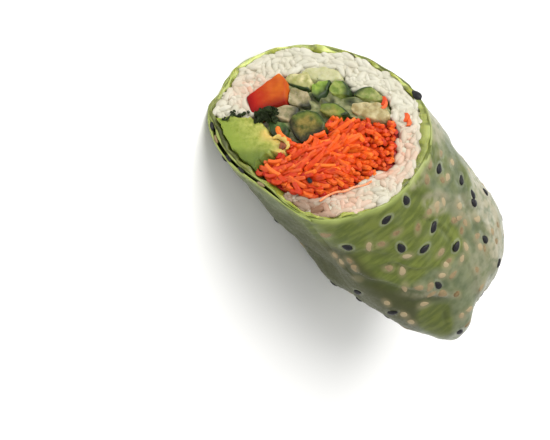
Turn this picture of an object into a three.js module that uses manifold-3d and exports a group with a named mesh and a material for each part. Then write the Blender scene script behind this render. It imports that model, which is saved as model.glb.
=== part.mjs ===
// Half of a diagonally cut rice paper roll: a rice paper wrapper round a green leaf and sushi rice,
// with red pepper, avocado, cucumber sticks and shredded carrot running through it.
// The half lies on its long side, with the slanted cut face turned up and forwards.
// Millimetres, +Z up. The roll runs along Y, from the cut face towards its folded end.
import * as THREE from "three";
import { mergeVertices } from "three/addons/utils/BufferGeometryUtils.js";
import Module from "manifold-3d";

const wasm = await Module();
wasm.setup();

// ---------------------------------------------------------------- driving dimensions
const ROLL_RADIUS = 24.8;
const CUT_BIAS = 35; // degrees that the cut leans from square
const HALF_LENGTH = 72; // from the centre of the cut face to the middle of the folded end
const REST_DEPTH = 24.2; // from the roll's axis down to the flat spot it rests on

const PAPER = 0.7; // thickness of the rice paper
const LEAF = 1.1; // thickness of the green leaf
const GAP = 0.3; // clearance between neighbouring layers and fillings

// The paper's outer edge laps over its inner edge. Angles are in degrees round the roll, from +X.
const LAP = {
  joined: -76, // where the free flap leaves the paper
  from: -72, // where the paper under it starts to dip
  to: 18, // the free outer edge
  rise: 12, // degrees over which a dip begins
  settle: 45, // degrees over which the surface comes back up past the free edge
  step: 0.6, // height of the free edge over the paper below it
  pocketFrom: -68, // between these the two edges stand apart
  pocketTo: 4,
  pocketDepth: 0.7,
  length: 38, // how far the lap runs along the roll
  fade: 9, // length over which it merges
};

const SEGMENTS = 48; // points round each ring
const BODY_RINGS = [0, 0.35, 0.7, 1]; // stations between the cut and the start of the folded end
const END_RINGS = 8; // stations over the folded end
const FLAP_STEPS = 20; // steps across the lap's free flap
const FLAP_STATIONS = [0, 0.35, 0.7, 0.88];
const FLAP_SINK = 0.4; // how deep its joined edges sink into the paper

// The roll's outline is a circle with soft dents and bulges: [degrees, height, width in degrees].
const DENTS = [
  [-14, -1.6, 20], // pressed flat where it leaned on its other half
  [22, 2.1, 15], // ridge over the lap's free edge
  [85, -1.9, 30], // flattened along the short side
  [145, 0.6, 25],
  [-150, 0.5, 30],
  [-66, 0.6, 18],
];

// The folded end is blunt at the top and slants away low on the lapped side.
const END = {
  startHigh: 47, // where the end starts to close, on the blunt side and on the slanted side
  startLow: 36,
  lowAt: -25, // degrees round the roll of the slanted side
  lowWidth: 65,
  powerHigh: 2.5, // roundness: 2 is an ellipse, more is blunter
  powerLow: 1.55,
  drop: 3, // how far the middle of the end sags
};

// The corner of the last fold stands out of the end as a blunt ear.
const EAR = {
  at: 38, // degrees round the roll
  width: 24,
  height: 9,
  ring: 0.72, // where it peaks, as a share of the roll's radius
  ringWidth: 0.3,
  rise: 0.35, // share of the end over which it rises
  fadesOver: 6, // layers this deep inside no longer follow it
};

// Pleats of the tucked paper run in to the middle of the end.
const PLEATS = { count: 5, depth: 3.6, twist: 290 };

// ---------------------------------------------------------------- fillings
const FILLING_LENGTH = 50; // how far the fillings reach behind the middle of the cut
const FILLING_TAPER = 0.86; // their outlines shrink to this share at the far end

// Outlines on the cut face: [across, up the slope], seen from the front, from the middle of the face.
// stiff is 0 for a soft outline and 1 for straight edges. proud is how far the cut end stands out.
const FILLINGS = {
  avocado: {
    outline: [
      [12.5, -26], [8, -22.5], [5.6, -16.8], [6.2, -13.4], [8.2, -10.8], [8.4, -7.4],
      [9.6, -4.6], [11.6, -5], [12.6, -8.2], [16, -9.4], [19.4, -9.2], [21, -14.6],
    ],
    stiff: 0.3,
    proud: 0.4,
    colour: 0xa9b84e,
    roughness: 0.5,
  },
  red_pepper: {
    outline: [[0.8, -21.6], [4.6, -17.8], [1, -14.8], [-2.6, -11.7], [-8.4, -14.4], [-9.6, -17.2]],
    stiff: 0.75,
    proud: 0.5,
    colour: 0xc22a1c,
    roughness: 0.3,
  },
  cucumber_1: {
    outline: [[-10.6, -15.8], [-13.6, -11], [-11.2, -8.9], [-9, -8.5], [-8.4, -11], [-8.2, -15]],
    stiff: 0.6,
    proud: 0.1,
  },
  cucumber_2: {
    outline: [[-7.4, -13.2], [-8.3, -8.6], [-5.2, -6.1], [-3.5, -7.4], [-3.1, -11.4]],
    stiff: 0.7,
    proud: -0.2,
  },
  cucumber_3: {
    outline: [[-2, -11.6], [-3, -8.4], [0, -7.8], [2, -8.8], [2.4, -12.2], [1, -13.8]],
    stiff: 0.6,
    proud: 0.2,
  },
  cucumber_4: {
    outline: [[4.4, -13.2], [3, -9.2], [4.6, -7.2], [7.2, -7.6], [7.5, -10.8], [5.6, -12.8]],
    stiff: 0.6,
    proud: 0,
  },
  cucumber_5: {
    outline: [
      [2.4, -8], [-1, -7.2], [-3.9, -4.8], [-4.2, -1.8], [-2.6, 0.2], [0.2, 0.2],
      [4, -1], [6.1, -3.4], [4.6, -6.6],
    ],
    stiff: 0.5,
    proud: 0.7,
  },
  cucumber_6: {
    outline: [[-11, -8.3], [-14.3, -5], [-11.2, -4], [-7.7, -4.9], [-7.9, -7]],
    stiff: 0.7,
    proud: 0.3,
  },
  cucumber_7: {
    outline: [[-14.2, -3.9], [-15.6, -1.5], [-14.2, 1], [-12.2, 1.8], [-10.6, -2], [-11.4, -3.5]],
    stiff: 0.7,
    proud: 0.5,
  },
  cucumber_8: {
    outline: [[-6.7, -3.2], [-8.6, 0], [-7.6, 4], [-6, 3.4], [-4.2, 0.4], [-4.4, -2.4]],
    stiff: 0.5,
    proud: 0.4,
  },
  cucumber_9: {
    outline: [[-13.1, 2.8], [-15.5, 3.3], [-17.4, 5.6], [-15.7, 10.8], [-14.3, 9], [-13.2, 6]],
    stiff: 0.6,
    proud: 0.2,
  },
  cucumber_10: {
    outline: [[-9.4, 3.4], [-12.4, 6.6], [-14.2, 10.6], [-11.8, 14], [-9.6, 12.4], [-8.2, 8.4]],
    stiff: 0.6,
    proud: -0.1,
  },
  carrot: {
    outline: [
      [7.2, -3.2], [3, -0.4], [-3.6, 1.2], [-6.8, 6.8], [-8.8, 13.2], [-10.6, 15.4], [-7.4, 17.8],
      [-4.6, 19.2], [0.6, 21.2], [3.4, 19.6], [7.6, 16.8], [12.2, 14.4], [17.4, 10], [19.8, 6],
      [20.2, -2], [19.6, -8], [13.6, -7.4], [9.8, -3.8],
    ],
    stiff: 0.5,
    proud: 0.6,
    teeth: { width: 1.7, height: 0.45 }, // the shreds' ends make the edge ragged
    colour: 0xea5a14,
    roughness: 0.55,
  },
};
const CLEAR_OF_CUT = 6; // how far a cutting solid reaches out of the cut face
const CUCUMBER_COLOUR = 0x9fb56a;
const CUCUMBER_ROUGHNESS = 0.35;
const EDGE_POINTS = 2; // points on each stretch of an outline
const TOOTH_POINTS = 2; // points on each tooth of a ragged edge

// Grains make the rice's cut face uneven: a wave round the face, shifted from ring to ring.
const GRAIN = {
  relief: 0.35,
  rings: [0.999, 0.88, 0.66, 0.4], // shares of the radius. The first one keeps the rim in its plane
  wave: 2.4, // radians from point to point
  crossWave: 5.1,
  shift: 1.7, // radians from ring to ring
};
const TRIM_REACH = 3; // how far the room for the fillings reaches out of the cut face

// ---------------------------------------------------------------- small helpers
const radians = THREE.MathUtils.degToRad;
const lerp = THREE.MathUtils.lerp;
const smoothstep = THREE.MathUtils.smoothstep;
const slope = Math.tan(radians(CUT_BIAS));

// A bell of height 1 round the given direction, all in degrees.
function bell(angle, middle, width) {
  const away = THREE.MathUtils.euclideanModulo(angle - middle + 180, 360) - 180;
  return Math.exp(-((away / width) ** 2));
}

function rollRadius(angle) {
  return DENTS.reduce((sum, [at, height, width]) => sum + height * bell(angle, at, width), ROLL_RADIUS);
}

// A step up at from and down again at to, each over its own number of degrees.
function plateau(angle, from, rise, to, fall) {
  return smoothstep(angle, from, from + rise) * (1 - smoothstep(angle, to, to + fall));
}

// How far the wrapper dips at an angle and a distance along the roll, to leave room for the lap.
function lapDip(angle, along) {
  const signed = angle > 180 ? angle - 360 : angle;
  const lap = plateau(signed, LAP.from, LAP.rise, LAP.to, LAP.settle);
  const pocket = plateau(signed, LAP.pocketFrom, LAP.rise, LAP.pocketTo - LAP.rise, LAP.rise);
  const fading = 1 - smoothstep(along, LAP.length - LAP.fade, LAP.length);
  return (LAP.step * lap + LAP.pocketDepth * pocket) * fading;
}

// The folded end at an angle, for closing from 0 where it starts to 1 in its middle: how far along the
// roll it has come, and the share of the roll's radius that is left.
function endShape(angle, closing, inset) {
  const low = bell(angle, END.lowAt, END.lowWidth);
  const start = lerp(END.startHigh, END.startLow, low);
  const power = lerp(END.powerHigh, END.powerLow, low);
  const turn = (closing * Math.PI) / 2;
  const reach = Math.sin(turn) ** (2 / power);
  const shrink = Math.cos(turn) ** (2 / power);
  const followed = Math.max(0, 1 - inset / EAR.fadesOver) * smoothstep(closing, 0, EAR.rise);
  const ear = EAR.height * followed * bell(angle, EAR.at, EAR.width)
    * Math.exp(-(((shrink - EAR.ring) / EAR.ringWidth) ** 2));
  const pleat = PLEATS.depth * shrink * (1 - shrink)
    * Math.cos(radians(PLEATS.count * angle + PLEATS.twist * closing));
  return { along: start + (HALF_LENGTH - inset - start) * reach + ear + pleat, shrink };
}

// One point of the roll's surface, or of a surface nested inside it by inset. station is 0 at the cut,
// 1 where the end starts to close and 2 in the middle of the end. angle is in degrees from +X.
function rollPoint(angle, station, inset, dips = true) {
  const straight = Math.min(1, station);
  const { along, shrink } = endShape(angle, Math.max(0, station - 1), inset);
  const place = (radius) => {
    const x = radius * Math.cos(radians(angle)) * shrink;
    const z = radius * Math.sin(radians(angle)) * shrink - END.drop * (1 - shrink);
    const resting = Math.max(z, inset - REST_DEPTH);
    return new THREE.Vector3(x, lerp(resting * slope, along, straight), resting);
  };
  const radius = rollRadius(angle) - inset;
  return dips ? place(radius - lapDip(angle, place(radius).y)) : place(radius);
}

function wholeRing(station, inset) {
  return Array.from({ length: SEGMENTS }, (_, i) => rollPoint((i * 360) / SEGMENTS, station, inset));
}

const STATIONS = [
  ...BODY_RINGS,
  ...Array.from({ length: END_RINGS - 1 }, (_, i) => 1 + (i + 1) / END_RINGS),
];

const endPoint = (inset) => new THREE.Vector3(0, HALF_LENGTH - inset, -END.drop);

// Whether points a and c lie closer together than points b and d.
function isShorter(points, a, c, b, d) {
  return points[a].distanceTo(points[c]) < points[b].distanceTo(points[d]);
}

// Joins rings of points, each with as many points as the last, into a skin. A ring of one point is a pole.
// Without poles the first and last rings are closed by strips, as on a thin band. Each square is split
// along its shorter diagonal, so that nested skins bend alike.
function skin(rings) {
  const points = rings.flat();
  const starts = [];
  rings.reduce((count, ring) => {
    starts.push(count);
    return count + ring.length;
  }, 0);
  const faces = [];
  for (let k = 0; k + 1 < rings.length; k++) {
    const count = Math.max(rings[k].length, rings[k + 1].length);
    for (let i = 0; i < count; i++) {
      const j = (i + 1) % count;
      const at = (ring, index) => starts[ring] + (rings[ring].length > 1 ? index : 0);
      const [a, b, c, d] = [at(k, i), at(k, j), at(k + 1, j), at(k + 1, i)];
      if (a === b) faces.push(b, c, d);
      else if (c === d) faces.push(a, b, c);
      else if (isShorter(points, a, c, b, d)) faces.push(a, b, c, a, c, d);
      else faces.push(a, b, d, b, c, d);
    }
  }
  const close = (ring, flip) => {
    const count = rings[ring].length;
    for (let i = 0; i < count / 2 - 1; i++) {
      const [a, b, c, d] = [i, i + 1, count - 2 - i, count - 1 - i].map((index) => starts[ring] + index);
      faces.push(...(flip ? [a, b, d, b, c, d] : [a, d, b, b, d, c]));
    }
  };
  if (rings[0].length > 1) close(0, false);
  if (rings.at(-1).length > 1) close(rings.length - 1, true);
  const geometry = new THREE.BufferGeometry().setFromPoints(points);
  return geometry.setIndex(faces);
}

// A closed geometry as a manifold-3d solid, with its faces turned outwards.
function solid(geometry) {
  const bare = geometry.clone();
  bare.deleteAttribute("normal");
  bare.deleteAttribute("uv");
  const merged = mergeVertices(bare, 1e-4);
  const triVerts = new Uint32Array(merged.index.array);
  const vertProperties = merged.getAttribute("position").array;
  const made = new wasm.Manifold(new wasm.Mesh({ numProp: 3, vertProperties, triVerts }));
  if (made.volume() > 0) return made;
  for (let i = 0; i < triVerts.length; i += 3) {
    [triVerts[i + 1], triVerts[i + 2]] = [triVerts[i + 2], triVerts[i + 1]];
  }
  return new wasm.Manifold(new wasm.Mesh({ numProp: 3, vertProperties, triVerts }));
}

// A manifold-3d solid as a named three.js mesh.
function meshOf(body, name, colour, roughness) {
  const { vertProperties, triVerts, numProp } = body.getMesh();
  const positions = new Float32Array((vertProperties.length / numProp) * 3);
  for (let i = 0; i < positions.length / 3; i++) {
    positions.set(vertProperties.subarray(i * numProp, i * numProp + 3), i * 3);
  }
  const geometry = new THREE.BufferGeometry();
  geometry.setAttribute("position", new THREE.BufferAttribute(positions, 3));
  geometry.setIndex(new THREE.BufferAttribute(triVerts, 1));
  geometry.computeVertexNormals();
  const material = new THREE.MeshStandardMaterial({ color: colour, roughness, metalness: 0 });
  const mesh = new THREE.Mesh(geometry, material);
  mesh.name = name;
  return mesh;
}

// ---------------------------------------------------------------- wrapper layers
// A cup between two nested surfaces, closed at the folded end and open at the cut.
function cup(outerInset, innerInset) {
  const outside = STATIONS.map((station) => wholeRing(station, outerInset));
  const inside = STATIONS.map((station) => wholeRing(station, innerInset));
  return solid(skin([
    [endPoint(outerInset)], ...outside.reverse(), ...inside, [endPoint(innerInset)],
  ]));
}

// The outer edge of the paper laps over the inner one as a flap that stays free along the ridge.
function lapFlap() {
  const angles = Array.from({ length: FLAP_STEPS + 1 }, (_, i) => lerp(LAP.joined, LAP.to, i / FLAP_STEPS));
  const rings = FLAP_STATIONS.map((station, k) => {
    const sunk = k === FLAP_STATIONS.length - 1 || 0;
    const over = angles.map((angle, i) => rollPoint(angle, station, FLAP_SINK * (sunk || !i), false));
    const under = angles.map((angle) => rollPoint(angle, station, PAPER, false));
    return [...over, ...under.reverse()];
  });
  return solid(skin(rings));
}

// ---------------------------------------------------------------- fillings
// Fillings narrow towards the end by this share of their size for each millimetre.
const narrowing = (1 - FILLING_TAPER) / FILLING_LENGTH;

// An outline on the cut face as points of the cross-section square to the roll at the middle of the cut,
// grown sideways by grow.
function crossSection({ outline, stiff, teeth }, grow) {
  const corners = outline.map(([x, up]) => {
    const size = 1 - narrowing * up * Math.sin(radians(CUT_BIAS));
    return new THREE.Vector3(x / size, (up * Math.cos(radians(CUT_BIAS))) / size, 0);
  });
  const curve = new THREE.CatmullRomCurve3(corners, true, "catmullrom", 0.5 * (1 - stiff));
  const count = teeth
    ? TOOTH_POINTS * Math.round(curve.getLength() / teeth.width)
    : EDGE_POINTS * outline.length;
  const points = teeth ? curve.getSpacedPoints(count) : curve.getPoints(count);
  points.pop();
  return points.map((point, i) => {
    const before = points[(i + count - 1) % count];
    const after = points[(i + 1) % count];
    const along = new THREE.Vector3().subVectors(after, before).normalize();
    const tooth = teeth ? teeth.height * (i % 2 ? 1 : -1) : 0;
    const out = (grow + tooth) * (THREE.ShapeUtils.area(points) > 0 ? 1 : -1);
    return new THREE.Vector2(point.x + along.y * out, point.y - along.x * out);
  });
}

// A filling runs from the cut face back into the roll, and narrows a little on the way.
// proud is how far its cut end stands out of the slanted plane.
function filling(shape, grow, proud) {
  const geometry = new THREE.ExtrudeGeometry(new THREE.Shape(crossSection(shape, grow)), {
    depth: 1,
    bevelEnabled: false,
  });
  geometry.rotateX(Math.PI / 2);
  const position = geometry.getAttribute("position");
  for (let i = 0; i < position.count; i++) {
    const [x, front, z] = [position.getX(i), -position.getY(i), position.getZ(i)];
    const cut = (z * slope - proud) / (1 + narrowing * z * slope);
    const y = front > 0.5 ? cut : FILLING_LENGTH + grow;
    const size = 1 - narrowing * y;
    position.setXYZ(i, x * size, y, z * size);
  }
  return solid(geometry);
}

// ---------------------------------------------------------------- rice
const leafInset = PAPER + GAP;
const riceInset = leafInset + LEAF + GAP;

// Everything inside the wrapper. The cut face is uneven by relief and stands out by proud.
function core(relief, proud) {
  const rim = wholeRing(0, riceInset);
  const face = GRAIN.rings.map((share, k) => rim.map((point, i) => {
    const height = k ? relief * Math.sin(i * GRAIN.wave + k * GRAIN.shift) : 0;
    const bump = height * Math.cos(i * GRAIN.crossWave - k);
    const z = point.z * share;
    return new THREE.Vector3(point.x * share, z * slope - bump - proud, z);
  }));
  const outside = STATIONS.map((station) => wholeRing(station, riceInset));
  return solid(skin([
    [endPoint(riceInset)], ...outside.reverse(), ...face, [new THREE.Vector3(0, -proud, 0)],
  ]));
}

// ---------------------------------------------------------------- the half roll
const roll = new THREE.Group();

const paper = cup(0, PAPER).add(lapFlap());
roll.add(meshOf(paper, "rice_paper", 0xc3ccaa, 0.3));
roll.add(meshOf(cup(leafInset, leafInset + LEAF), "green_leaf", 0x93b03c, 0.45));

// A filling that reaches the wrapper is trimmed to it. Each one is also cut clear of those before it.
let room = core(0, TRIM_REACH);
let rice = core(GRAIN.relief, 0);
for (const [name, shape] of Object.entries(FILLINGS)) {
  const body = filling(shape, 0, shape.proud).intersect(room);
  const grown = filling(shape, GAP, CLEAR_OF_CUT);
  room = room.subtract(grown);
  rice = rice.subtract(grown);
  roll.add(meshOf(body, name, shape.colour ?? CUCUMBER_COLOUR, shape.roughness ?? CUCUMBER_ROUGHNESS));
}
roll.add(meshOf(rice, "rice", 0xe9e4d6, 0.6));

// The origin goes under the middle of the half, on the surface it rests on.
const box = new THREE.Box3().setFromObject(roll);
const middle = box.getCenter(new THREE.Vector3());
roll.position.set(-middle.x, -middle.y, -box.min.z);

const half = new THREE.Group();
half.add(roll);
export default half;
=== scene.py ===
"""The looks of half a diagonally cut rice paper roll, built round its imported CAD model.

Lengths are millimetres in the roll's own frame: the origin is the middle of the slanted cut face, +Y runs
along the roll away from the cut, and +Z is up. Angles go round the roll in degrees, from +X towards +Z.
make_piece() moves everything into the CAD frame, in metres. A place named as a Pixel is one in the camera's
picture, which Viewpoint carries back onto the roll.
"""

import logging
from collections.abc import Callable
from dataclasses import astuple, dataclass
from enum import Enum
from math import cos, radians, sin, tan

import bpy
import numpy as np
from mathutils import Matrix, Vector


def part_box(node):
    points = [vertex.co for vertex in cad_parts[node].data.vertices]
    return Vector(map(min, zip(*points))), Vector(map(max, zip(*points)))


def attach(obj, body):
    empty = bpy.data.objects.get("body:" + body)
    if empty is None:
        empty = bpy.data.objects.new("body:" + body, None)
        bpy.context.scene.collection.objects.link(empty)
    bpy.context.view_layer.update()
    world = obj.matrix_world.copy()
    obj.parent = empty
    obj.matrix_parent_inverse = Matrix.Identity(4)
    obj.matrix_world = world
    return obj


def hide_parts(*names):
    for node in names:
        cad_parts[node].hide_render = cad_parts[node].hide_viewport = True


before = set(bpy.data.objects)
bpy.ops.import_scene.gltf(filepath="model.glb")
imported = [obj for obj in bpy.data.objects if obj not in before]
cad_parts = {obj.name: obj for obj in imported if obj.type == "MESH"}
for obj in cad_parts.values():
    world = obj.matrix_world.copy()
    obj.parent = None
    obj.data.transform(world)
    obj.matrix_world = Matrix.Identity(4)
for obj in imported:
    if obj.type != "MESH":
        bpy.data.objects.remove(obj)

Array = np.ndarray
Shell = tuple[Array, list[Array]]
Floats = tuple[float, ...]
Pair = tuple[float, float]
Triple = tuple[float, float, float]
Pairs = tuple[Pair, ...]
Triples = tuple[Triple, ...]
Pixel = Pair
Pixels = tuple[Pixel, ...]
Colour = tuple[int, int, int]
Socket = bpy.types.NodeSocket
log = logging.getLogger("rice_paper_roll")

MM = 0.001
BODY = "root"
PICTURE = (550, 440)
FULL_TURN = 360.0
TINY = 1e-9


# ---------------------------------------------------------------- numbers and curves
def lerp(start: Array, end: Array, share: Array) -> Array:
    """The point at a share of the way from start to end."""
    return start + (end - start) * share


def smoothstep(value: Array, low: float, high: float) -> Array:
    """A soft step: 0 at low, 1 at high, and 3t^2 - 2t^3 between."""
    t = np.clip((value - low) / (high - low), 0.0, 1.0)
    return t * t * (3.0 - 2.0 * t)


def plateau(value: Array, rise: float, top: float, edge: float, fall: float) -> Array:
    """A soft plateau of height 1 from top to edge, which rises from rise and falls to fall."""
    return smoothstep(value, rise, top) * (1.0 - smoothstep(value, edge, fall))


def fade(distance: Array, reach: float, power: int = 2) -> Array:
    """How a mark fades with distance: exp(-(d / reach)^power)."""
    return np.exp(-((distance / reach) ** power))


def half_turn(angle: Array) -> Array:
    """An angle brought within half a turn of 0."""
    return (angle + FULL_TURN / 2) % FULL_TURN - FULL_TURN / 2


def bell(angle: Array, middle: float, width: float) -> Array:
    """A bell of height 1 round a direction, exp(-(d / width)^2) with d the shortest turn to it."""
    return fade(half_turn(angle - middle), width)


def unit(vectors: Array) -> Array:
    """Vectors scaled to length 1."""
    return vectors / np.maximum(np.linalg.norm(vectors, axis=-1, keepdims=True), TINY)


def radial(angle: Array) -> Array:
    """The directions straight out from the roll's middle line at angles round it."""
    return np.stack([np.cos(np.radians(angle)), np.zeros_like(angle), np.sin(np.radians(angle))], axis=-1)


def lying(along: Array, normal: Array) -> Array:
    """The axes of things that lie along one direction and face another, a 3 by 3 matrix for each."""
    return np.stack([along, np.cross(normal, along), normal], axis=1)


def circle(count: int) -> Array:
    """Equal steps round a circle, in radians."""
    return np.linspace(0.0, 2.0 * np.pi, count, endpoint=False)


def closest(points: Array, places: Array) -> tuple[Array, Array]:
    """The distance from each point to the nearest place, and that place's number."""
    squares = (points**2).sum(-1)[:, None] + (places**2).sum(-1)[None, :] - 2.0 * points @ places.T
    nearest = squares.argmin(axis=1)
    return np.sqrt(np.maximum(squares[np.arange(len(points)), nearest], 0.0)), nearest


def cubics(start: Array, end: Array, leave: Array, arrive: Array, steps: int) -> Array:
    """Points on cubics from start to end with given end tangents, steps on each, without the last ends."""
    t = (np.arange(steps) / steps)[None, :, None]
    start, end, leave, arrive = (row[:, None] for row in (start, end, leave, arrive))
    a = 2.0 * start - 2.0 * end + leave + arrive
    b = -3.0 * start + 3.0 * end - 2.0 * leave - arrive
    return (a * t**3 + b * t**2 + leave * t + start).reshape(-1, start.shape[-1])


def closed_curve(corners: Array, stiff: float, steps: int) -> Array:
    """A smooth closed line through corners.

    Each stretch is a cubic whose end tangents are 0.5 * (1 - stiff) times the chord between the corners
    before and after, so stiff 1 gives straight sides.

    Args:
        corners: the corners, one row each.
        stiff: from 0, round, to 1, straight.
        steps: points on each stretch.

    Returns:
        The line's points, one row each.
    """
    chords = 0.5 * (1.0 - stiff) * (np.roll(corners, -1, axis=0) - np.roll(corners, 1, axis=0))
    return cubics(corners, np.roll(corners, -1, axis=0), chords, np.roll(chords, -1, axis=0), steps)


def open_curve(corners: Array, steps: int) -> Array:
    """A smooth line from the first corner to the last through all between."""
    chords = np.gradient(corners, axis=0)
    return np.concatenate([cubics(corners[:-1], corners[1:], chords[:-1], chords[1:], steps), corners[-1:]])


def inside(points: Array, outline: Array) -> Array:
    """Whether points lie inside a closed outline: a ray from them crosses it an odd number of times."""
    x, y = points[:, None, 0], points[:, None, 1]
    ax, ay = outline[None, :, 0], outline[None, :, 1]
    bx, by = np.roll(outline, -1, axis=0)[None].transpose(2, 0, 1)
    level = np.where(by == ay, TINY, by - ay)
    crosses = ((ay > y) != (by > y)) & (x < (bx - ax) * (y - ay) / level + ax)
    return crosses.sum(axis=1) % 2 == 1


def depth_inside(points: Array, outline: Array) -> Array:
    """How far each point lies inside a fine closed outline, below zero outside it."""
    return closest(points, outline)[0] * np.where(inside(points, outline), 1.0, -1.0)


@dataclass(frozen=True)
class Ripple:
    """A soft uneven field: the sum of plane waves in random directions, with a spread of about height."""

    size: float
    seed: int
    height: float = 1.0
    waves: int = 16
    spread: Pair = (0.7, 1.5)

    def at(self, points: Array) -> Array:
        """The sum of sin(k.p + phase) over the waves, over the root of half their number, times height."""
        rng = np.random.default_rng(self.seed)
        directions = unit(rng.normal(size=(self.waves, 3)))
        lengths = self.size * rng.uniform(*self.spread, (self.waves, 1))
        phases = rng.uniform(0.0, 2.0 * np.pi, self.waves)
        waves = np.sin(2.0 * np.pi * points.reshape(-1, 3) @ (directions / lengths).T + phases)
        return self.height * (waves.sum(axis=-1) / np.sqrt(self.waves / 2.0)).reshape(points.shape[:-1])


# ---------------------------------------------------------------- the roll's form
@dataclass(frozen=True)
class Lap:
    """The stretch where the paper's outer edge laps over its inner edge.

    Angles are joined, start, end, rise, settle, the pocket's two and edge_width. Depths and lengths are
    step, pocket_depth, length and fade_over. reach, far_end and edge_start are stations of the surface.
    """

    joined: float = -76.0
    start: float = -72.0
    end: float = 18.0
    rise: float = 12.0
    settle: float = 45.0
    step: float = 0.6
    pocket_start: float = -68.0
    pocket_end: float = 4.0
    pocket_depth: float = 0.7
    length: float = 38.0
    fade_over: float = 9.0
    reach: float = 0.88
    far_end: float = 0.3
    edge_width: float = 8.0
    edge_start: float = 0.06

    def edge(self, angle: Array, station: Array) -> Array:
        """How closely the flap lies on the paper under it: 1 at its far end, and at its free edge."""
        free = smoothstep(angle, self.end - self.edge_width, self.end)
        free = free * smoothstep(station, 0.0, self.edge_start)
        return np.maximum(free, smoothstep(station, self.reach - self.far_end, self.reach))


@dataclass(frozen=True)
class RollForm:
    """The half roll's outer surface and the surfaces nested inside it, close to the CAD model's.

    Each of the dents is an angle, a height and a width.
    """

    radius: float = 24.8
    bias: float = 35.0
    half_length: float = 72.0
    rest_depth: float = 24.2
    start_high: float = 47.0
    start_low: float = 36.0
    low_at: float = -25.0
    low_width: float = 65.0
    power_high: float = 2.5
    power_low: float = 1.55
    drop: float = 3.0
    dents: Triples = (
        (-14.0, -1.6, 20.0), (22.0, 2.1, 15.0), (85.0, -1.9, 30.0),
        (145.0, 0.6, 25.0), (-150.0, 0.5, 30.0), (-66.0, 0.6, 18.0),
    )
    ear_at: float = 38.0
    ear_width: float = 24.0
    ear_height: float = 6.9
    ear_ring: float = 0.72
    ear_ring_width: float = 0.3
    ear_rise: float = 0.35
    ear_fades_over: float = 6.0
    pleats: int = 5
    pleat_depth: float = 3.6
    pleat_twist: float = 290.0
    lap: Lap = Lap()

    @property
    def slope(self) -> float:
        """How far the cut leans back for each millimetre of height."""
        return tan(radians(self.bias))

    def radius_at(self, angle: Array) -> Array:
        """The radius at an angle: a circle with soft dents and bulges added."""
        return self.radius + sum(height * bell(angle, at, width) for at, height, width in self.dents)

    def lap_dip(self, angle: Array, along: Array) -> Array:
        """How far the paper dips under the lap: a broad plateau and a deeper one in it, both fading along."""
        lap, turn = self.lap, half_turn(angle)
        under = plateau(turn, lap.start, lap.start + lap.rise, lap.end, lap.end + lap.settle)
        first, last = lap.pocket_start, lap.pocket_end
        pocket = plateau(turn, first, first + lap.rise, last - lap.rise, last)
        fading = 1.0 - smoothstep(along, lap.length - lap.fade_over, lap.length)
        return (lap.step * under + lap.pocket_depth * pocket) * fading

    def end_shape(self, angle: Array, closing: Array, inset: Array | float) -> tuple[Array, Array]:
        """The folded end.

        Its profile is a superellipse: sin(t)^(2/p) along the roll and cos(t)^(2/p) across it, with t a
        quarter turn over the end. A blunt ear and twisted pleats are added along the roll.

        Args:
            angle: degrees round the roll.
            closing: 0 where the end starts to close, 1 in its middle.
            inset: how deep the surface is nested.

        Returns:
            How far along the roll each point is, and the share of the radius that is left.
        """
        low = bell(angle, self.low_at, self.low_width)
        start = lerp(self.start_high, self.start_low, low)
        power = lerp(self.power_high, self.power_low, low)
        turn = closing * np.pi / 2
        reach = np.sin(turn) ** (2.0 / power)
        shrink = np.maximum(np.cos(turn), 0.0) ** (2.0 / power)
        followed = np.maximum(0.0, 1.0 - inset / self.ear_fades_over)
        followed = followed * smoothstep(closing, 0.0, self.ear_rise)
        ring = fade(shrink - self.ear_ring, self.ear_ring_width)
        ear = self.ear_height * followed * ring * bell(angle, self.ear_at, self.ear_width)
        wave = np.cos(np.radians(self.pleats * angle + self.pleat_twist * closing))
        pleat = self.pleat_depth * shrink * (1.0 - shrink) * wave
        return start + (self.half_length - inset - start) * reach + ear + pleat, shrink

    def surface(self, angle: Array, station: Array, inset: Array | float = 0.0,
                dips: Array | bool = True) -> Array:
        """Points of the surface.

        x and z are the radius, less inset and the lap's dip, times the cosine and sine of the angle and the
        end's shrink. y runs from the cut plane, z times the slope, to where the end starts to close, and then
        follows the end. z never goes below the floor.

        Args:
            angle: degrees round the roll.
            station: 0 at the cut, 1 where the end starts to close, 2 in the middle of the end.
            inset: how deep the surface is nested.
            dips: where the surface dips under the lap.

        Returns:
            The points, with x, y and z in the last axis.
        """
        angle, station = np.broadcast_arrays(np.asarray(angle, float), np.asarray(station, float))
        along, shrink = self.end_shape(angle, np.maximum(station - 1.0, 0.0), inset)
        straight = np.minimum(station, 1.0)

        def place(radius: Array) -> Array:
            """The point at a radius."""
            x = radius * np.cos(np.radians(angle)) * shrink
            z = radius * np.sin(np.radians(angle)) * shrink - self.drop * (1.0 - shrink)
            resting = np.maximum(z, inset - self.rest_depth)
            return np.stack([x, lerp(resting * self.slope, along, straight), resting], axis=-1)

        radius = self.radius_at(angle) - inset
        dip = self.lap_dip(angle, place(radius)[..., 1])
        return place(radius - dip * dips)

    def on_face(self, across: Array, up: Array, behind: Array | float = 0.0) -> Array:
        """Points given across and up the slanted cut face, moved along the roll by behind."""
        bias = radians(self.bias)
        across, up = np.broadcast_arrays(np.asarray(across, float), np.asarray(up, float))
        return np.stack([across, up * sin(bias) + behind, up * cos(bias)], axis=-1)

    @property
    def face_axes(self) -> Array:
        """The cut face's own directions as rows: across, up the slope, and out of the face."""
        bias = radians(self.bias)
        return np.array([[1, 0, 0], [0, sin(bias), cos(bias)], [0, -cos(bias), sin(bias)]])

    def rim(self, inset: Array | float) -> Array:
        """The nested surface's edge on the cut face, as places across and up it."""
        return face_spots(self.surface(RIM_ANGLES, 0.0, inset))

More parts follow.
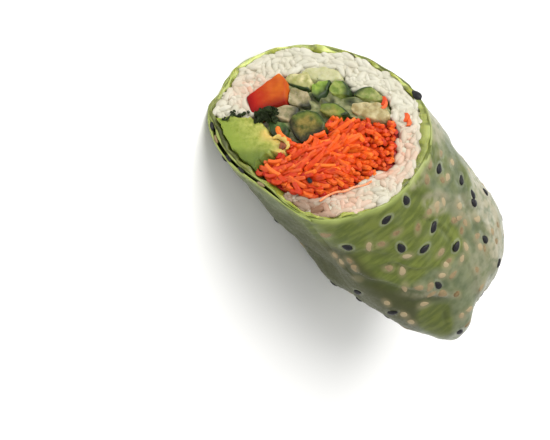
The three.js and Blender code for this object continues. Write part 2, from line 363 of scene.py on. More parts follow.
    def held_inside(self, line: Array, inset: float) -> Array:
        """Places on the cut face, drawn towards its middle where needed to stay inside a nested surface."""
        edge = self.rim(inset)
        edge_way, line_way = (np.degrees(np.arctan2(places[:, 1], places[:, 0])) for places in (edge, line))
        limit = np.interp(line_way, edge_way, np.linalg.norm(edge, axis=1), period=FULL_TURN)
        return line * np.minimum(1.0, limit / np.maximum(np.linalg.norm(line, axis=1), TINY))[:, None]


FORM = RollForm()
RIM_ANGLES = np.arange(0.0, FULL_TURN, 2.0)
CAD_RING_STEP = 7.5
SETTLED = 0.08


def frame_offset() -> Array:
    """Where the roll's origin lies in the CAD frame, in metres: the wrapper's box against its formula."""
    low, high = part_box("rice_paper")
    x, y, z = FORM.surface(np.arange(0.0, FULL_TURN, CAD_RING_STEP), 0.0).T
    return np.array([high.x, low.y, low.z]) - MM * np.array([x.max(), y.min(), z.min()])


OFFSET = frame_offset()


def face_spots(points: Array) -> Array:
    """Points of the roll's frame as places across and up the cut face."""
    return np.column_stack([points[:, 0], points[:, 2] / cos(radians(FORM.bias))])


def behind_cut(points: Array) -> Array:
    """How far points lie behind the cut, along the roll."""
    return points[..., 1] - points[..., 2] * FORM.slope


# ---------------------------------------------------------------- meshes
def wrapped_grid(rows: int, columns: int, first: int = 0) -> Array:
    """Squares between rows of points that close on themselves sideways, numbered from first."""
    row, column = np.meshgrid(np.arange(rows - 1), np.arange(columns), indexing="ij")
    after = (column + 1) % columns
    a, b = row * columns + column, row * columns + after
    return first + np.stack([a, b, b + columns, a + columns], axis=-1).reshape(-1, 4)


def open_grid(rows: int, columns: int) -> Array:
    """Squares between rows of points that stay open sideways."""
    row, column = np.meshgrid(np.arange(rows - 1), np.arange(columns - 1), indexing="ij")
    a = row * columns + column
    return np.stack([a, a + 1, a + columns + 1, a + columns], axis=-1).reshape(-1, 4)


def outward(vertices: Array, faces: list[Array]) -> list[Array]:
    """The faces, all reversed where the volume they enclose, a sum of a.(b x c), comes out negative."""
    volume = 0.0
    for group in faces:
        for corner in range(1, group.shape[1] - 1):
            a, b, c = (vertices[group[:, number]] for number in (0, corner, corner + 1))
            volume += (a * np.cross(b, c)).sum()
    return faces if volume > 0.0 else [group[:, ::-1] for group in faces]


def grid_of(x: Array, y: Array, z: Array) -> Array:
    """Points by row and column, from coordinates that may hold one row or one column for all."""
    return np.stack(np.broadcast_arrays(x, y, z), axis=-1)


def closed_shell(rows: Array) -> Shell:
    """A closed skin over rows of points.

    Args:
        rows: points by row and column. All points of the first row are alike, and all of the last.

    Returns:
        The vertices, with one for each pole, and the faces.
    """
    body = rows[1:-1]
    count, columns = body.shape[:2]
    vertices = np.concatenate([rows[0, :1], body.reshape(-1, 3), rows[-1, :1]])
    here = np.arange(columns)
    after, last = (here + 1) % columns, 1 + (count - 1) * columns
    start = np.stack([np.zeros(columns, int), after + 1, here + 1], axis=-1)
    end = np.stack([np.full(columns, len(vertices) - 1), here + last, after + last], axis=-1)
    return vertices, outward(vertices, [start, wrapped_grid(count, columns, 1), end])


def thick_sheet(over: Array, under: Array) -> Shell:
    """A closed sheet between two open grids of the same size, with a strip round the rim."""
    rows, columns = over.shape[:2]
    grid, half = open_grid(rows, columns), rows * columns
    numbers = np.arange(half).reshape(rows, columns)
    rim = np.concatenate([numbers[0], numbers[1:, -1], numbers[-1, -2::-1], numbers[-2:0:-1, 0]])
    after = np.roll(rim, -1)
    strip = np.stack([after, rim, rim + half, after + half], axis=-1)
    vertices = np.concatenate([over.reshape(-1, 3), under.reshape(-1, 3)])
    return vertices, outward(vertices, [grid, grid[:, ::-1] + half, strip])


def tube(path: Array, radii: Array, sides: int = 8) -> Shell:
    """A closed tube along a path: circles across the path's direction with their own radii."""
    ahead = unit(np.gradient(path, axis=0))
    side = unit(np.cross(ahead, FORM.face_axes[2]))
    rise = np.cross(side, ahead)
    turn = circle(sides)[None, :, None]
    rings = radii[:, None, None] * (np.cos(turn) * side[:, None] + np.sin(turn) * rise[:, None])
    ends = np.repeat(path[[0, -1]], sides, axis=0).reshape(2, sides, 3)
    return closed_shell(np.concatenate([ends[:1], path[:, None] + rings, ends[1:]]))


def copies(shape: Shell, turns: Array, places: Array) -> Shell:
    """One mesh that holds a shape many times.

    Args:
        shape: the shape's points and faces.
        turns: a 3 by 3 matrix for each copy, whose rows are the copy's axes times its size.
        places: a middle for each copy.

    Returns:
        The vertices and the faces of all copies.
    """
    vertices, faces = shape
    placed = vertices[None] @ turns + places[:, None]
    shift = (np.arange(len(places)) * len(vertices))[:, None, None]
    return placed.reshape(-1, 3), [(group[None] + shift).reshape(-1, group.shape[1]) for group in faces]


def together(*shells: Shell) -> Shell:
    """Several shells as one set of vertices and faces."""
    starts = np.cumsum([0, *(len(vertices) for vertices, _ in shells)])
    faces = [group + start for (_, groups), start in zip(shells, starts) for group in groups]
    return np.concatenate([vertices for vertices, _ in shells]), faces


class Mask(Enum):
    """The masks that pieces carry on their vertices."""

    GREEN = "green"
    # Milky paper with painted highlights on the wrapper, paler tan seeds, and glassy rice grains.
    VEIL_AND_HIGHLIGHT = "veil_and_highlight"
    # Painted shade in the valleys of the paper's folds.
    CREASE = "crease"
    # Pale rings round black seeds, and painted light on the leaf's cut rim and in the hollows between rice
    # grains.
    HALO = "halo"
    # Mostly painted shade; on the leaf also dark blots and scars, on rice grains a random grey.
    SHADE = "shade"
    # Warm tints, and painted highlights on the carrot shreds.
    WARM_AND_HIGHLIGHT = "warm"
    # Peel and skin, and the paper's lime lip at the cut with a painted highlight.
    SKIN = "skin"


Masks = dict[Mask, Array | float]


def make_piece(name: str, shell: Shell, material: bpy.types.Material, node: str = "",
               masks: Masks | None = None, smooth: bool = True) -> None:
    """Puts a shell into the scene as a mesh that rides on the roll.

    Args:
        name: the piece's name.
        shell: vertices in the roll's frame, and faces.
        material: its finish.
        node: the CAD node that it replaces, if any.
        masks: what it carries for its finish, a number for each vertex or one for all.
        smooth: whether its shading hides the edges between its faces.
    """
    vertices, faces = shell
    mesh = bpy.data.meshes.new(name)
    mesh.vertices.add(len(vertices))
    mesh.vertices.foreach_set("co", (vertices * MM + OFFSET).astype(np.float32).ravel())
    corners = np.concatenate([group.ravel() for group in faces]).astype(np.int32)
    totals = np.concatenate([np.full(len(group), group.shape[1]) for group in faces]).astype(np.int32)
    mesh.loops.add(len(corners))
    mesh.loops.foreach_set("vertex_index", corners)
    mesh.polygons.add(len(totals))
    mesh.polygons.foreach_set("loop_start", np.concatenate([[0], np.cumsum(totals)[:-1]]).astype(np.int32))
    mesh.polygons.foreach_set("use_smooth", np.full(len(totals), smooth))
    mesh.update(calc_edges=True)
    mesh.materials.append(material)
    for mask, values in (masks or {}).items():
        layer = mesh.attributes.new(mask.value, "FLOAT", "POINT")
        layer.data.foreach_set("value", np.broadcast_to(values, len(vertices)).astype(np.float32))
    piece = bpy.data.objects.new(name, mesh)
    bpy.context.scene.collection.objects.link(piece)
    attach(piece, BODY)
    if node:
        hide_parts(node)
    log.info("%s: %d faces", name, len(totals))


# ---------------------------------------------------------------- finishes
def linear(colour: Colour) -> Floats:
    """A colour of 0 to 255 on screen as linear light, by the usual screen curve."""
    channels = np.array(colour) / 255.0
    light = np.where(channels <= 0.04045, channels / 12.92, ((channels + 0.055) / 1.055) ** 2.4)
    return (*light.tolist(), 1.0)


class Finish:
    """A material under construction: short ways to add nodes to its tree."""

    def __init__(self, name: str) -> None:
        """Starts a material with a Principled BSDF."""
        self.material = bpy.data.materials.new(name)
        self.material.use_nodes = True
        self.tree = self.material.node_tree
        self.shader = self.tree.nodes["Principled BSDF"]
        coordinates = self.tree.nodes.new("ShaderNodeTexCoord")
        self.place: Socket = coordinates.outputs["Object"]

    def set(self, **values: float | Floats) -> None:
        """Sets the shader's own constants. An underscore in a name stands for a space."""
        for name, value in values.items():
            self.shader.inputs[name.replace("_", " ").title().replace("Ior", "IOR")].default_value = value

    def feed(self, name: str, socket: Socket) -> None:
        """Joins a socket to one of the shader's inputs."""
        self.tree.links.new(socket, self.shader.inputs[name])

    def put(self, target: Socket, value: Socket | float | Colour) -> None:
        """Joins a socket to an input, or sets the input to a number or a colour."""
        if isinstance(value, bpy.types.NodeSocket):
            self.tree.links.new(value, target)
        else:
            target.default_value = linear(value) if isinstance(value, tuple) else value

    def mask(self, mask: Mask) -> Socket:
        """A mask that the piece carries."""
        node = self.tree.nodes.new("ShaderNodeAttribute")
        node.attribute_name = mask.value
        return node.outputs["Fac"]

    def mix(self, share: Socket | float, first: Socket | Colour, second: Socket | Colour) -> Socket:
        """A colour between two others."""
        node = self.tree.nodes.new("ShaderNodeMix")
        node.data_type = "RGBA"
        self.put(node.inputs[0], share)
        self.put(node.inputs[6], first)
        self.put(node.inputs[7], second)
        return node.outputs[2]

    def times(self, first: Socket | float, second: Socket | float) -> Socket:
        """The product of two numbers, kept within 0 and 1."""
        node = self.tree.nodes.new("ShaderNodeMath")
        node.operation, node.use_clamp = "MULTIPLY", True
        self.put(node.inputs[0], first)
        self.put(node.inputs[1], second)
        return node.outputs[0]

    def noise(self, size: float, detail: float = 2.0, stretch: Triple = (1, 1, 1)) -> Socket:
        """A cloud pattern with blobs of about size, in millimetres, drawn out by stretch."""
        mapping = self.tree.nodes.new("ShaderNodeMapping")
        mapping.inputs["Scale"].default_value = [1.0 / value for value in stretch]
        self.tree.links.new(self.place, mapping.inputs["Vector"])
        node = self.tree.nodes.new("ShaderNodeTexNoise")
        node.inputs["Scale"].default_value = 1.0 / (size * MM)
        node.inputs["Detail"].default_value = detail
        self.tree.links.new(mapping.outputs["Vector"], node.inputs["Vector"])
        return node.outputs["Fac"]

    def ranged(self, value: Socket, smooth: bool = False, **ends: float) -> Socket:
        """A value brought from one range to another, with the ends that aren't 0 or 1 given."""
        node = self.tree.nodes.new("ShaderNodeMapRange")
        if smooth:
            node.interpolation_type = "SMOOTHSTEP"
        for name, end in ends.items():
            node.inputs[name.replace("_", " ").title()].default_value = end
        self.tree.links.new(value, node.inputs["Value"])
        return node.outputs["Result"]

    def group(self, tree: bpy.types.NodeTree, **values: Socket | float | Colour) -> bpy.types.Node:
        """Places a shared effect and gives it this finish's values."""
        node = self.tree.nodes.new("ShaderNodeGroup")
        node.node_tree = tree
        self.put(node.inputs["Place"], self.place)
        for name, value in values.items():
            self.put(node.inputs[name.title()], value)
        return node


class SharedEffects:
    """The node groups that several finishes use."""

    def __init__(self) -> None:
        """Moist food's fine relief and varied roughness, and soft clouds of a second colour over a first."""
        self.moist = self.group(
            "moist surface",
            {"Place": "Vector", "Scale": "Float", "Relief": "Float", "Dry": "Float", "Wet": "Float"},
            {"Normal": "Vector", "Roughness": "Float"},
            {"TexNoise": {"Detail": 3.0}, "Bump": {}, "MapRange": {"From Min": 0.4, "From Max": 0.65}},
            ("Group.Place TexNoise.Vector", "Group.Scale TexNoise.Scale", "TexNoise.Fac Bump.Height",
             "Group.Relief Bump.Distance", "TexNoise.Fac MapRange.Value", "Group.Dry MapRange.To_Min",
             "Group.Wet MapRange.To_Max", "Bump.Normal Group.Normal", "MapRange.Result Group.Roughness"),
        )
        self.mottle = self.group(
            "mottling",
            {"Place": "Vector", "Scale": "Float", "Amount": "Float", "First": "Color", "Second": "Color"},
            {"Color": "Color"},
            {"TexNoise": {"Detail": 2.0}, "MapRange": {"From Min": 0.35, "From Max": 0.65}, "Mix": {}},
            ("Group.Place TexNoise.Vector", "Group.Scale TexNoise.Scale", "TexNoise.Fac MapRange.Value",
             "Group.Amount MapRange.To_Max", "MapRange.Result Mix.0", "Group.First Mix.6",
             "Group.Second Mix.7", "Mix.2 Group.Color"),
        )

    @staticmethod
    def group(name: str, inputs: dict[str, str], outputs: dict[str, str], parts: dict[str, dict[str, float]],
              links: tuple[str, ...]) -> bpy.types.NodeTree:
        """A node group with one node of each kind.

        Args:
            name: the group's name.
            inputs: its inputs and their types.
            outputs: its outputs and their types.
            parts: the kinds of nodes in it and the constants set on each.
            links: pairs of node.output node.input, with _ for a space, or a number for a socket's place.

        Returns:
            The group.
        """
        tree = bpy.data.node_groups.new(name, "ShaderNodeTree")
        for way, sockets in {"INPUT": inputs, "OUTPUT": outputs}.items():
            for socket, kind in sockets.items():
                tree.interface.new_socket(socket, in_out=way, socket_type=f"NodeSocket{kind}")
        starts = {"Group": tree.nodes.new("NodeGroupInput")}
        ends = {"Group": tree.nodes.new("NodeGroupOutput")}
        for kind, values in parts.items():
            starts[kind] = ends[kind] = node = tree.nodes.new(f"ShaderNode{kind}")
            if kind == "Mix":
                node.data_type = "RGBA"
            for socket, value in values.items():
                node.inputs[socket].default_value = value
        for link in links:
            (start, output), (end, target) = (side.replace("_", " ").split(".") for side in link.split())
            output, target = (int(socket) if socket.isdigit() else socket for socket in (output, target))
            tree.links.new(starts[start].outputs[output], ends[end].inputs[target])
        return tree


EFFECTS = SharedEffects()


def per_metre(size: float) -> float:
    """The noise scale that gives blobs of about size, in millimetres."""
    return 1.0 / (size * MM)


@dataclass(frozen=True)
class FoodFinish:
    """A moist food surface with two base colours in soft clouds.

    light and dark are the two colours, clouds their size, relief the height of the fine surface, grain its
    size, and dry and wet the roughness between which it varies. soft is how far light enters, in millimetres,
    and reach its share of that for red, green and blue.
    """

    name: str
    light: Colour
    dark: Colour
    clouds: float = 2.0
    amount: float = 1.0
    relief: float = 0.08
    grain: float = 0.5
    dry: float = 0.55
    wet: float = 0.3
    soft: float = 0.0
    reach: Triple = (1.0, 0.85, 0.7)
    coat: float = 0.0
    coat_roughness: float = 0.15
    specular: float = 0.5

    def start(self) -> tuple[Finish, Socket]:
        """The finish with its relief and gloss set, and its mottled colour to build on."""
        finish = Finish(self.name)
        surface = finish.group(EFFECTS.moist, scale=per_metre(self.grain), relief=self.relief * MM,
                               dry=self.dry, wet=self.wet)
        finish.feed("Normal", surface.outputs["Normal"])
        finish.feed("Roughness", surface.outputs["Roughness"])
        finish.set(coat_weight=self.coat, coat_roughness=self.coat_roughness,
                   specular_ior_level=self.specular)
        if self.soft:
            finish.set(subsurface_weight=1.0, subsurface_radius=self.reach, subsurface_scale=self.soft * MM)
        colour = finish.group(EFFECTS.mottle, scale=per_metre(self.clouds), amount=self.amount,
                              first=self.light, second=self.dark)
        return finish, colour.outputs["Color"]

    def plain(self) -> bpy.types.Material:
        """The finish with nothing more on it."""
        return self.shaded({})

    def shaded(self, layers: dict[Mask, Colour]) -> bpy.types.Material:
        """The finish with a further colour wherever each mask says, laid on in order."""
        finish, colour = self.start()
        for mask, layer in layers.items():
            colour = finish.mix(finish.mask(mask), colour, layer)
        finish.feed("Base Color", colour)
        return finish.material


# ---------------------------------------------------------------- camera and studio
@dataclass(frozen=True)
class Viewpoint:
    """Where the camera stands: its direction from the cut face, its roll, and where that point falls."""

    azimuth: float = 35.34
    elevation: float = 45.33
    roll: float = 94.9
    distance: float = 445.0
    focal_pixels: float = 1710.0
    face_at: Pixel = (321.6, 128.9)

    @property
    def axes(self) -> Array:
        """The camera's right, up and backward directions as rows."""
        a, e, r = radians(self.azimuth), radians(self.elevation), radians(self.roll)
        back = np.array([sin(a) * cos(e), -cos(a) * cos(e), sin(e)])
        level = np.array([cos(a), sin(a), 0.0])
        right = cos(r) * level + sin(r) * np.cross(back, level)
        return np.array([right, np.cross(back, right), back])

    @property
    def position(self) -> Array:
        """The camera's place in the roll's frame."""
        right, up, back = self.axes
        step = self.distance / self.focal_pixels
        side = (self.face_at[0] - PICTURE[0] / 2) * step
        rise = (PICTURE[1] / 2 - self.face_at[1]) * step
        return back * self.distance - right * side - up * rise

    def project(self, points: Array) -> Array:
        """Where points fall in the picture, in pixels from its top left corner."""
        seen = (points - self.position) @ self.axes.T
        scale = self.focal_pixels / -seen[..., 2:]
        return seen[..., :2] * scale * np.array([1.0, -1.0]) + np.array(PICTURE) / 2

    def face_point(self, pixels: Pixels | Array) -> Array:
        """Where picture places lie on the cut face, as across and up its slope."""
        turned = (np.asarray(pixels, float) - np.array(PICTURE) / 2) * [1.0, -1.0] / self.focal_pixels
        rays = np.column_stack([turned, -np.ones(len(turned))]) @ self.axes
        across, up, out = FORM.face_axes
        points = self.position - rays * ((self.position @ out) / (rays @ out))[:, None]
        return np.column_stack([points @ across, points @ up])

    def along_surface(self, headings: Array, normals: Array) -> Array:
        """Directions on surfaces with given normals that appear at given headings, degrees from the right."""
        right, up, back = self.axes
        turn = np.radians(headings)[:, None]
        seen = np.cos(turn) * right + np.sin(turn) * up
        return unit(np.cross(normals, np.cross(seen, back)))


VIEW = Viewpoint()


@dataclass(frozen=True)
class Lamp:
    """A square soft light: the way to it from the roll, its distance, side and power in watts."""

    name: str
    towards: Triple
    distance: float
    side: float
    power: float
    colour: Triple = (1.0, 1.0, 1.0)


@dataclass(frozen=True)
class Studio:
    """The pale floor, the soft lights and the camera."""

    floor_side: float = 6.0
    floor_colour: Colour = (252, 252, 251)
    floor_roughness: float = 0.8
    floor_specular: float = 0.2
    sky: float = 0.74
    sensor: float = 36.0
    lamps: tuple[Lamp, ...] = (
        Lamp("key light", (-0.45, -0.35, 0.9), 0.9, 0.9, 8.0, (1.0, 0.985, 0.96)),
        Lamp("fill light", (0.9, -0.7, 0.6), 1.1, 0.9, 1.0),
        Lamp("glint light", (-0.68, 0.64, 0.3), 0.9, 0.14, 0.28),
    )

    def build(self) -> None:
        """Makes the floor, the world, the lamps and the camera."""
        self.make_floor()
        self.make_world()
        for lamp in self.lamps:
            self.make_lamp(lamp)
        self.make_camera()
        bpy.context.scene.view_settings.view_transform = "Standard"

    def make_floor(self) -> None:
        """A plain pale square under the roll."""
        half = self.floor_side / 2
        mesh = bpy.data.meshes.new("floor")
        corners = [(-half, -half, 0), (half, -half, 0), (half, half, 0), (-half, half, 0)]
        mesh.from_pydata(corners, [], [(0, 1, 2, 3)])
        floor = bpy.data.objects.new("floor", mesh)
        finish = Finish("pale floor")
        finish.set(base_color=linear(self.floor_colour), roughness=self.floor_roughness,
                   specular_ior_level=self.floor_specular)
        mesh.materials.append(finish.material)
        bpy.context.scene.collection.objects.link(floor)

    def make_world(self) -> None:
        """An even white surrounding light."""
        world = bpy.data.worlds.new("studio")
        world.use_nodes = True
        background = world.node_tree.nodes["Background"]
        background.inputs["Color"].default_value = (1.0, 1.0, 1.0, 1.0)
        background.inputs["Strength"].default_value = self.sky
        bpy.context.scene.world = world

    def make_lamp(self, lamp: Lamp) -> None:
        """A square area light that faces the roll."""
        light = bpy.data.lights.new(lamp.name, "AREA")
        light.shape, light.size, light.energy, light.color = "SQUARE", lamp.side, lamp.power, lamp.colour
        holder = bpy.data.objects.new(lamp.name, light)
        away = Vector(lamp.towards).normalized()
        holder.location = away * lamp.distance
        holder.rotation_euler = away.to_track_quat("Z", "Y").to_euler()
        bpy.context.scene.collection.objects.link(holder)

    def make_camera(self) -> None:
        """The camera at its viewpoint."""
        data = bpy.data.cameras.new("camera")
        data.sensor_width = self.sensor
        data.lens = self.sensor * VIEW.focal_pixels / PICTURE[0]
        camera = bpy.data.objects.new("camera", data)
        place = Matrix.Translation(Vector(VIEW.position * MM + OFFSET))
        camera.matrix_world = place @ Matrix(VIEW.axes.T).to_4x4()
        bpy.context.scene.collection.objects.link(camera)
        bpy.context.scene.camera = camera


# ---------------------------------------------------------------- the outer skin, and seeds on it
@dataclass
class OuterSkin:
    """The roll's outside as a fine grid, used to place things on it."""

    rows: int = 190
    columns: int = 396
    body_share: float = 0.68
    unseen_at: float = 1e6

    def __post_init__(self) -> None:
        """Works out the grid, its normals and where it is seen in the picture."""
        lap, body = FORM.lap, round(self.rows * self.body_share)
        closing = np.linspace(1.0, 2.0, self.rows - body + 1)[1:]
        self.angles = np.linspace(-FULL_TURN / 2, FULL_TURN / 2, self.columns, endpoint=False)
        self.angle, self.station = np.meshgrid(self.angles, [*np.linspace(0.0, 1.0, body), *closing])
        self.lapped = (self.angle > lap.joined) & (self.angle < lap.end) & (self.station < lap.reach)
        dips = np.where(self.lapped, lap.edge(self.angle, self.station), 1.0)
        self.points = FORM.surface(self.angle, self.station, dips=dips)
        self.normals = self.normals_of(self.points)
        self.pixels = VIEW.project(self.points)
        self.seen = ((VIEW.position - self.points) * self.normals).sum(-1) > 0.0

    @staticmethod
    def normals_of(points: Array) -> Array:
        """Outward normals of a wrapped grid: the cross product of its steps along and round the roll."""
        around = np.roll(points, -1, axis=1) - np.roll(points, 1, axis=1)
        return unit(np.cross(np.gradient(points, axis=0), around))

    def at_pixels(self, pixels: Array) -> Array:
        """The numbers of the seen grid points that fall nearest to places in the picture."""
        spots = np.where(self.seen[..., None], self.pixels, self.unseen_at).reshape(-1, 2)
        return closest(np.asarray(pixels, float), spots)[1]


@dataclass(frozen=True)
class SesameSeed:
    """One sesame seed's shape: a flat drop."""

    length: float = 3.3
    width: float = 2.0
    thickness: float = 1.0
    rings: int = 7
    sides: int = 10
    crowding: float = 0.9
    blunt: float = 0.6
    taper: float = 0.28

    def shell(self) -> Shell:
        """The drop along x: half width sin(pi t)^blunt * (1 - taper s), with s from -1 to 1."""
        t = np.linspace(0.0, 1.0, self.rings + 2)[:, None] ** self.crowding
        swell = np.maximum(np.sin(np.pi * t), 0.0) ** self.blunt * (1.0 - self.taper * (2.0 * t - 1.0))
        y = self.width / 2 * swell * np.cos(circle(self.sides))
        z = self.thickness / 2 * swell * np.sin(circle(self.sides))
        return closed_shell(grid_of((t - 0.5) * self.length, y, z))


@dataclass
class Sesame:
    """Black and tan sesame on and just under the paper, in the lap's gap, and on the cut.

    The seen black seeds are picture places with a heading there, in degrees from the right. cut_scale and
    above_cut belong to those on the cut: their size, and how far their middles stand out of it.
    """

    skin: OuterSkin
    black_seen: Triples = (
        (438.8, 168.7, 78), (461, 180, 90), (470, 195, 115), (471, 203, 135), (484.8, 191.7, 130),
        (405.8, 200.4, 114), (386.5, 220.3, 43), (433.2, 226.9, 70), (346.7, 247, 160), (400.8, 247.6, 125),
        (423.9, 248.3, 42), (456.2, 246.4, 66), (487.3, 239.3, 135), (496.5, 262, 66), (437.5, 283.7, 135),
        (358.8, 290.5, 0), (359.8, 298, 150), (392.1, 312.9, 10), (459.3, 331, 160),
    )
    tan_seen: Pixels = (
        (396.5, 232.7), (417.7, 228.4), (428, 212.8), (435.7, 205.5), (443.2, 201.5), (436.5, 209),
        (368.6, 247.5), (381.6, 244.5), (388.5, 267.5), (401.5, 271.3), (407.1, 255), (440, 253.2),
        (460.6, 259.3), (445.6, 265.7), (442.6, 274.4), (452.5, 274.4), (404.6, 286.8), (417.7, 286.8),
        (429.5, 285.6), (432, 294.3), (443.2, 293), (458, 295), (424, 304.2), (460.6, 314.8), (468, 309.2),
        (466.8, 322.9), (475.5, 269.4), (480.5, 285.6), (476.8, 218.4), (466.2, 223.4), (455.6, 220.9),
        (460.6, 217.2), (458, 204.7), (465.5, 247), (479.2, 247), (476.8, 237), (495.4, 242), (404, 315.4),
        (386, 304.2), (412.1, 322.3), (429.5, 163.7), (427, 179.8), (442, 179.2), (447.5, 178), (452, 161.8),
        (440, 154), (468, 170), (354.9, 268.2), (357, 279), (334, 257), (348.7, 262), (498, 224), (486, 250),
        (326, 234), (492, 232), (463, 229), (341, 263), (448, 262),
    )
    gap_angles: Floats = (-60.0, -51.0, -37.0, -27.0, -13.0)
    gap_black: tuple[bool, ...] = (True, False, True, True, False)
    gap_inset: float = 0.75
    gap_station: float = 0.008
    black_on_cut: Triples = ((313.5, 185.0, 115.0), (417.0, 95.5, 130.0))
    above_cut: Floats = (1.9, 0.2)
    cut_scale: Floats = (0.62, 1.12)
    black_lift: float = 0.06
    tan_lift: float = -0.05
    tan_flat: float = 0.6
    hidden_black: int = 34
    hidden_tan: int = 150
    apart: float = 3.6
    above_floor: float = 1.8
    pale_husk: Colour = (172, 156, 122)
    palest: float = 0.9
    sizes: Pair = (0.88, 1.08)
    tries: int = 900
    off_cut: float = 0.03
    coat: FoodFinish = FoodFinish(
        "black sesame", (18, 18, 21), (32, 31, 34), 0.8, dry=0.5, wet=0.3, specular=0.25
    )
    husk: FoodFinish = FoodFinish(
        "tan sesame", (132, 112, 76), (108, 88, 56), 1.0, dry=0.6, wet=0.5, specular=0.25
    )
    seed: int = 7

    def __post_init__(self) -> None:
        """Chooses every seed's place on the skin and the way it lies."""
        skin, self.rng = self.skin, np.random.default_rng(self.seed)
        seen = np.array(self.black_seen)
        taken = skin.at_pixels(np.concatenate([seen[:, :2], np.array(self.tan_seen)]))
        hidden = self.hidden_places(taken)
        first, some = len(seen), self.hidden_black
        parts = (taken[:first], hidden[:some], taken[first:], hidden[some:])
        self.number = np.concatenate(parts)
        self.black = np.arange(len(self.number)) < len(parts[0]) + len(parts[1])
        self.points = skin.points.reshape(-1, 3)[self.number]
        self.normals = skin.normals.reshape(-1, 3)[self.number]
        along = unit(np.cross(self.normals, self.rng.normal(size=self.normals.shape)))
        along[:first] = VIEW.along_surface(seen[:, 2], self.normals[:first])
        self.axes = lying(along, self.normals)

    def hidden_places(self, taken: Array) -> Array:
        """Random places on the sides that the listed places leave bare, as grid numbers.

        Candidates are spread by area, and one goes if an earlier one or a taken place lies closer than apart.
        """
        skin = self.skin
        area = np.linalg.norm(np.cross(*np.gradient(skin.points, axis=(0, 1))), axis=-1)
        clear = ~skin.seen & (skin.points[..., 2] > self.above_floor - FORM.rest_depth)
        chance = (area * (clear & (skin.station > self.off_cut))).ravel()
        tried = self.rng.choice(len(chance), self.tries, replace=False, p=chance / chance.sum())
        flat = skin.points.reshape(-1, 3)
        gaps = np.linalg.norm(flat[tried][:, None] - flat[tried][None], axis=-1)
        crowded = np.triu(gaps < self.apart, 1).any(axis=0)
        far = closest(flat[tried], flat[taken])[0] > self.apart
        return tried[~crowded & far][: self.hidden_black + self.hidden_tan]

    def nearness(self, points: Array) -> tuple[Array, Array]:
        """How each point lies to its nearest seed.

        The measure is sqrt(a^2 + b^2), with a and b the way to the seed along and across it as shares of its
        half length and half width, so it is 1 on the seed's outline.

        Args:
            points: one row each.

        Returns:
            The measure, and whether that seed is black.
        """
        nearest = closest(points, self.points)[1]
        way = points - self.points[nearest]
        axes = self.axes[nearest]
        a = (way * axes[:, 0]).sum(-1) / (SesameSeed.length / 2)
        b = (way * axes[:, 1]).sum(-1) / (SesameSeed.width / 2)
        return np.hypot(a, b), self.black[nearest]

    def build(self, lift: Array) -> None:
        """Makes one joined piece for each colour.

        Args:
            lift: how far the paper stands over the smooth skin, by grid number.
        """
        rise = lift.ravel()[self.number] + np.where(self.black, self.black_lift, self.tan_lift)
        turns = self.axes * self.rng.uniform(*self.sizes, (len(self.points), 3, 1))
        turns[~self.black, 2] *= self.tan_flat
        cut_places, cut_turns = self.on_the_cut()
        places = np.concatenate([self.points + self.normals * rise[:, None], cut_places])
        turns = np.concatenate([turns, cut_turns])
        black = np.concatenate([self.black, [True] * len(self.black_on_cut), self.gap_black])
        shape = SesameSeed().shell()
        pale = np.repeat(self.rng.uniform(0.0, self.palest, np.sum(~black)), len(shape[0]))
        make_piece("black_sesame", copies(shape, turns[black], places[black]), self.coat.plain())
        make_piece("tan_sesame", copies(shape, turns[~black], places[~black]),
                   self.husk.shaded({Mask.VEIL_AND_HIGHLIGHT: self.pale_husk}), masks={Mask.VEIL_AND_HIGHLIGHT: pale})

    def on_the_cut(self) -> tuple[Array, Array]:
        """Middles and axes of the seeds that lie on the cut, first, and of those in the lap's gap."""
        x, y, heading = np.array(self.black_on_cut).T
        spot = VIEW.face_point(np.column_stack([x, y]))
        out = np.broadcast_to(FORM.face_axes[2], (len(x), 3))
        flat = lying(VIEW.along_surface(heading, out), out) * np.array(self.cut_scale)[:, None, None]
        angle = np.array(self.gap_angles)
        standing = lying(unit(np.cross(radial(angle), [0.0, 1.0, 0.0])), radial(angle))
        on_cut = FORM.on_face(*spot.T, -np.array(self.above_cut))
        in_gap = FORM.surface(angle, self.gap_station, self.gap_inset, False)
        return np.concatenate([on_cut, in_gap]), np.concatenate([flat, standing])


# ---------------------------------------------------------------- wrapper
RIDGE = 2.3


@dataclass(frozen=True)
class Region:
    """A soft-edged area of the wrapper as it shows in the picture: its outline, softness and strength."""

    outline: Pixels
    soft: float = 5.0
    strength: float = 1.0
    steps: int = 14

    def share(self, pixels: Array) -> Array:
        """The strength inside the outline, falling to 0 over the soft edge."""
        line = closed_curve(np.array(self.outline), 0.0, self.steps)
        near = ((pixels > line.min(axis=0) - self.soft) & (pixels < line.max(axis=0) + self.soft)).all(axis=1)
        result = np.zeros(len(pixels))
        result[near] = self.strength * smoothstep(depth_inside(pixels[near], line), -self.soft, self.soft)
        return result


@dataclass(frozen=True)
class Fold:
    """A crease of the wrapper as it shows in the picture: its line, its reach either side and its height."""

    line: Pixels
    reach: float = 1.1
    height: float = 0.5
    scale: float = 3.6
    steps: int = 8
    fading: float = 0.8

    def profile(self, pixels: Array) -> Array:
        """A ridge left of the line and a valley right of it, RIDGE * s * exp(-s^2), that fade at its ends."""
        line = open_curve(np.array(self.line), self.steps)
        distance, nearest = closest(pixels, line)
        ahead = unit(np.gradient(line, axis=0))[nearest]
        way = pixels - line[nearest]
        side = np.sign(ahead[:, 1] * way[:, 0] - ahead[:, 0] * way[:, 1])
        s = side * distance / (self.scale * self.reach)
        ends = np.minimum(nearest, len(line) - 1 - nearest) / self.steps
        return self.height * RIDGE * s * np.exp(-(s**2)) * smoothstep(ends, 0.0, self.fading)


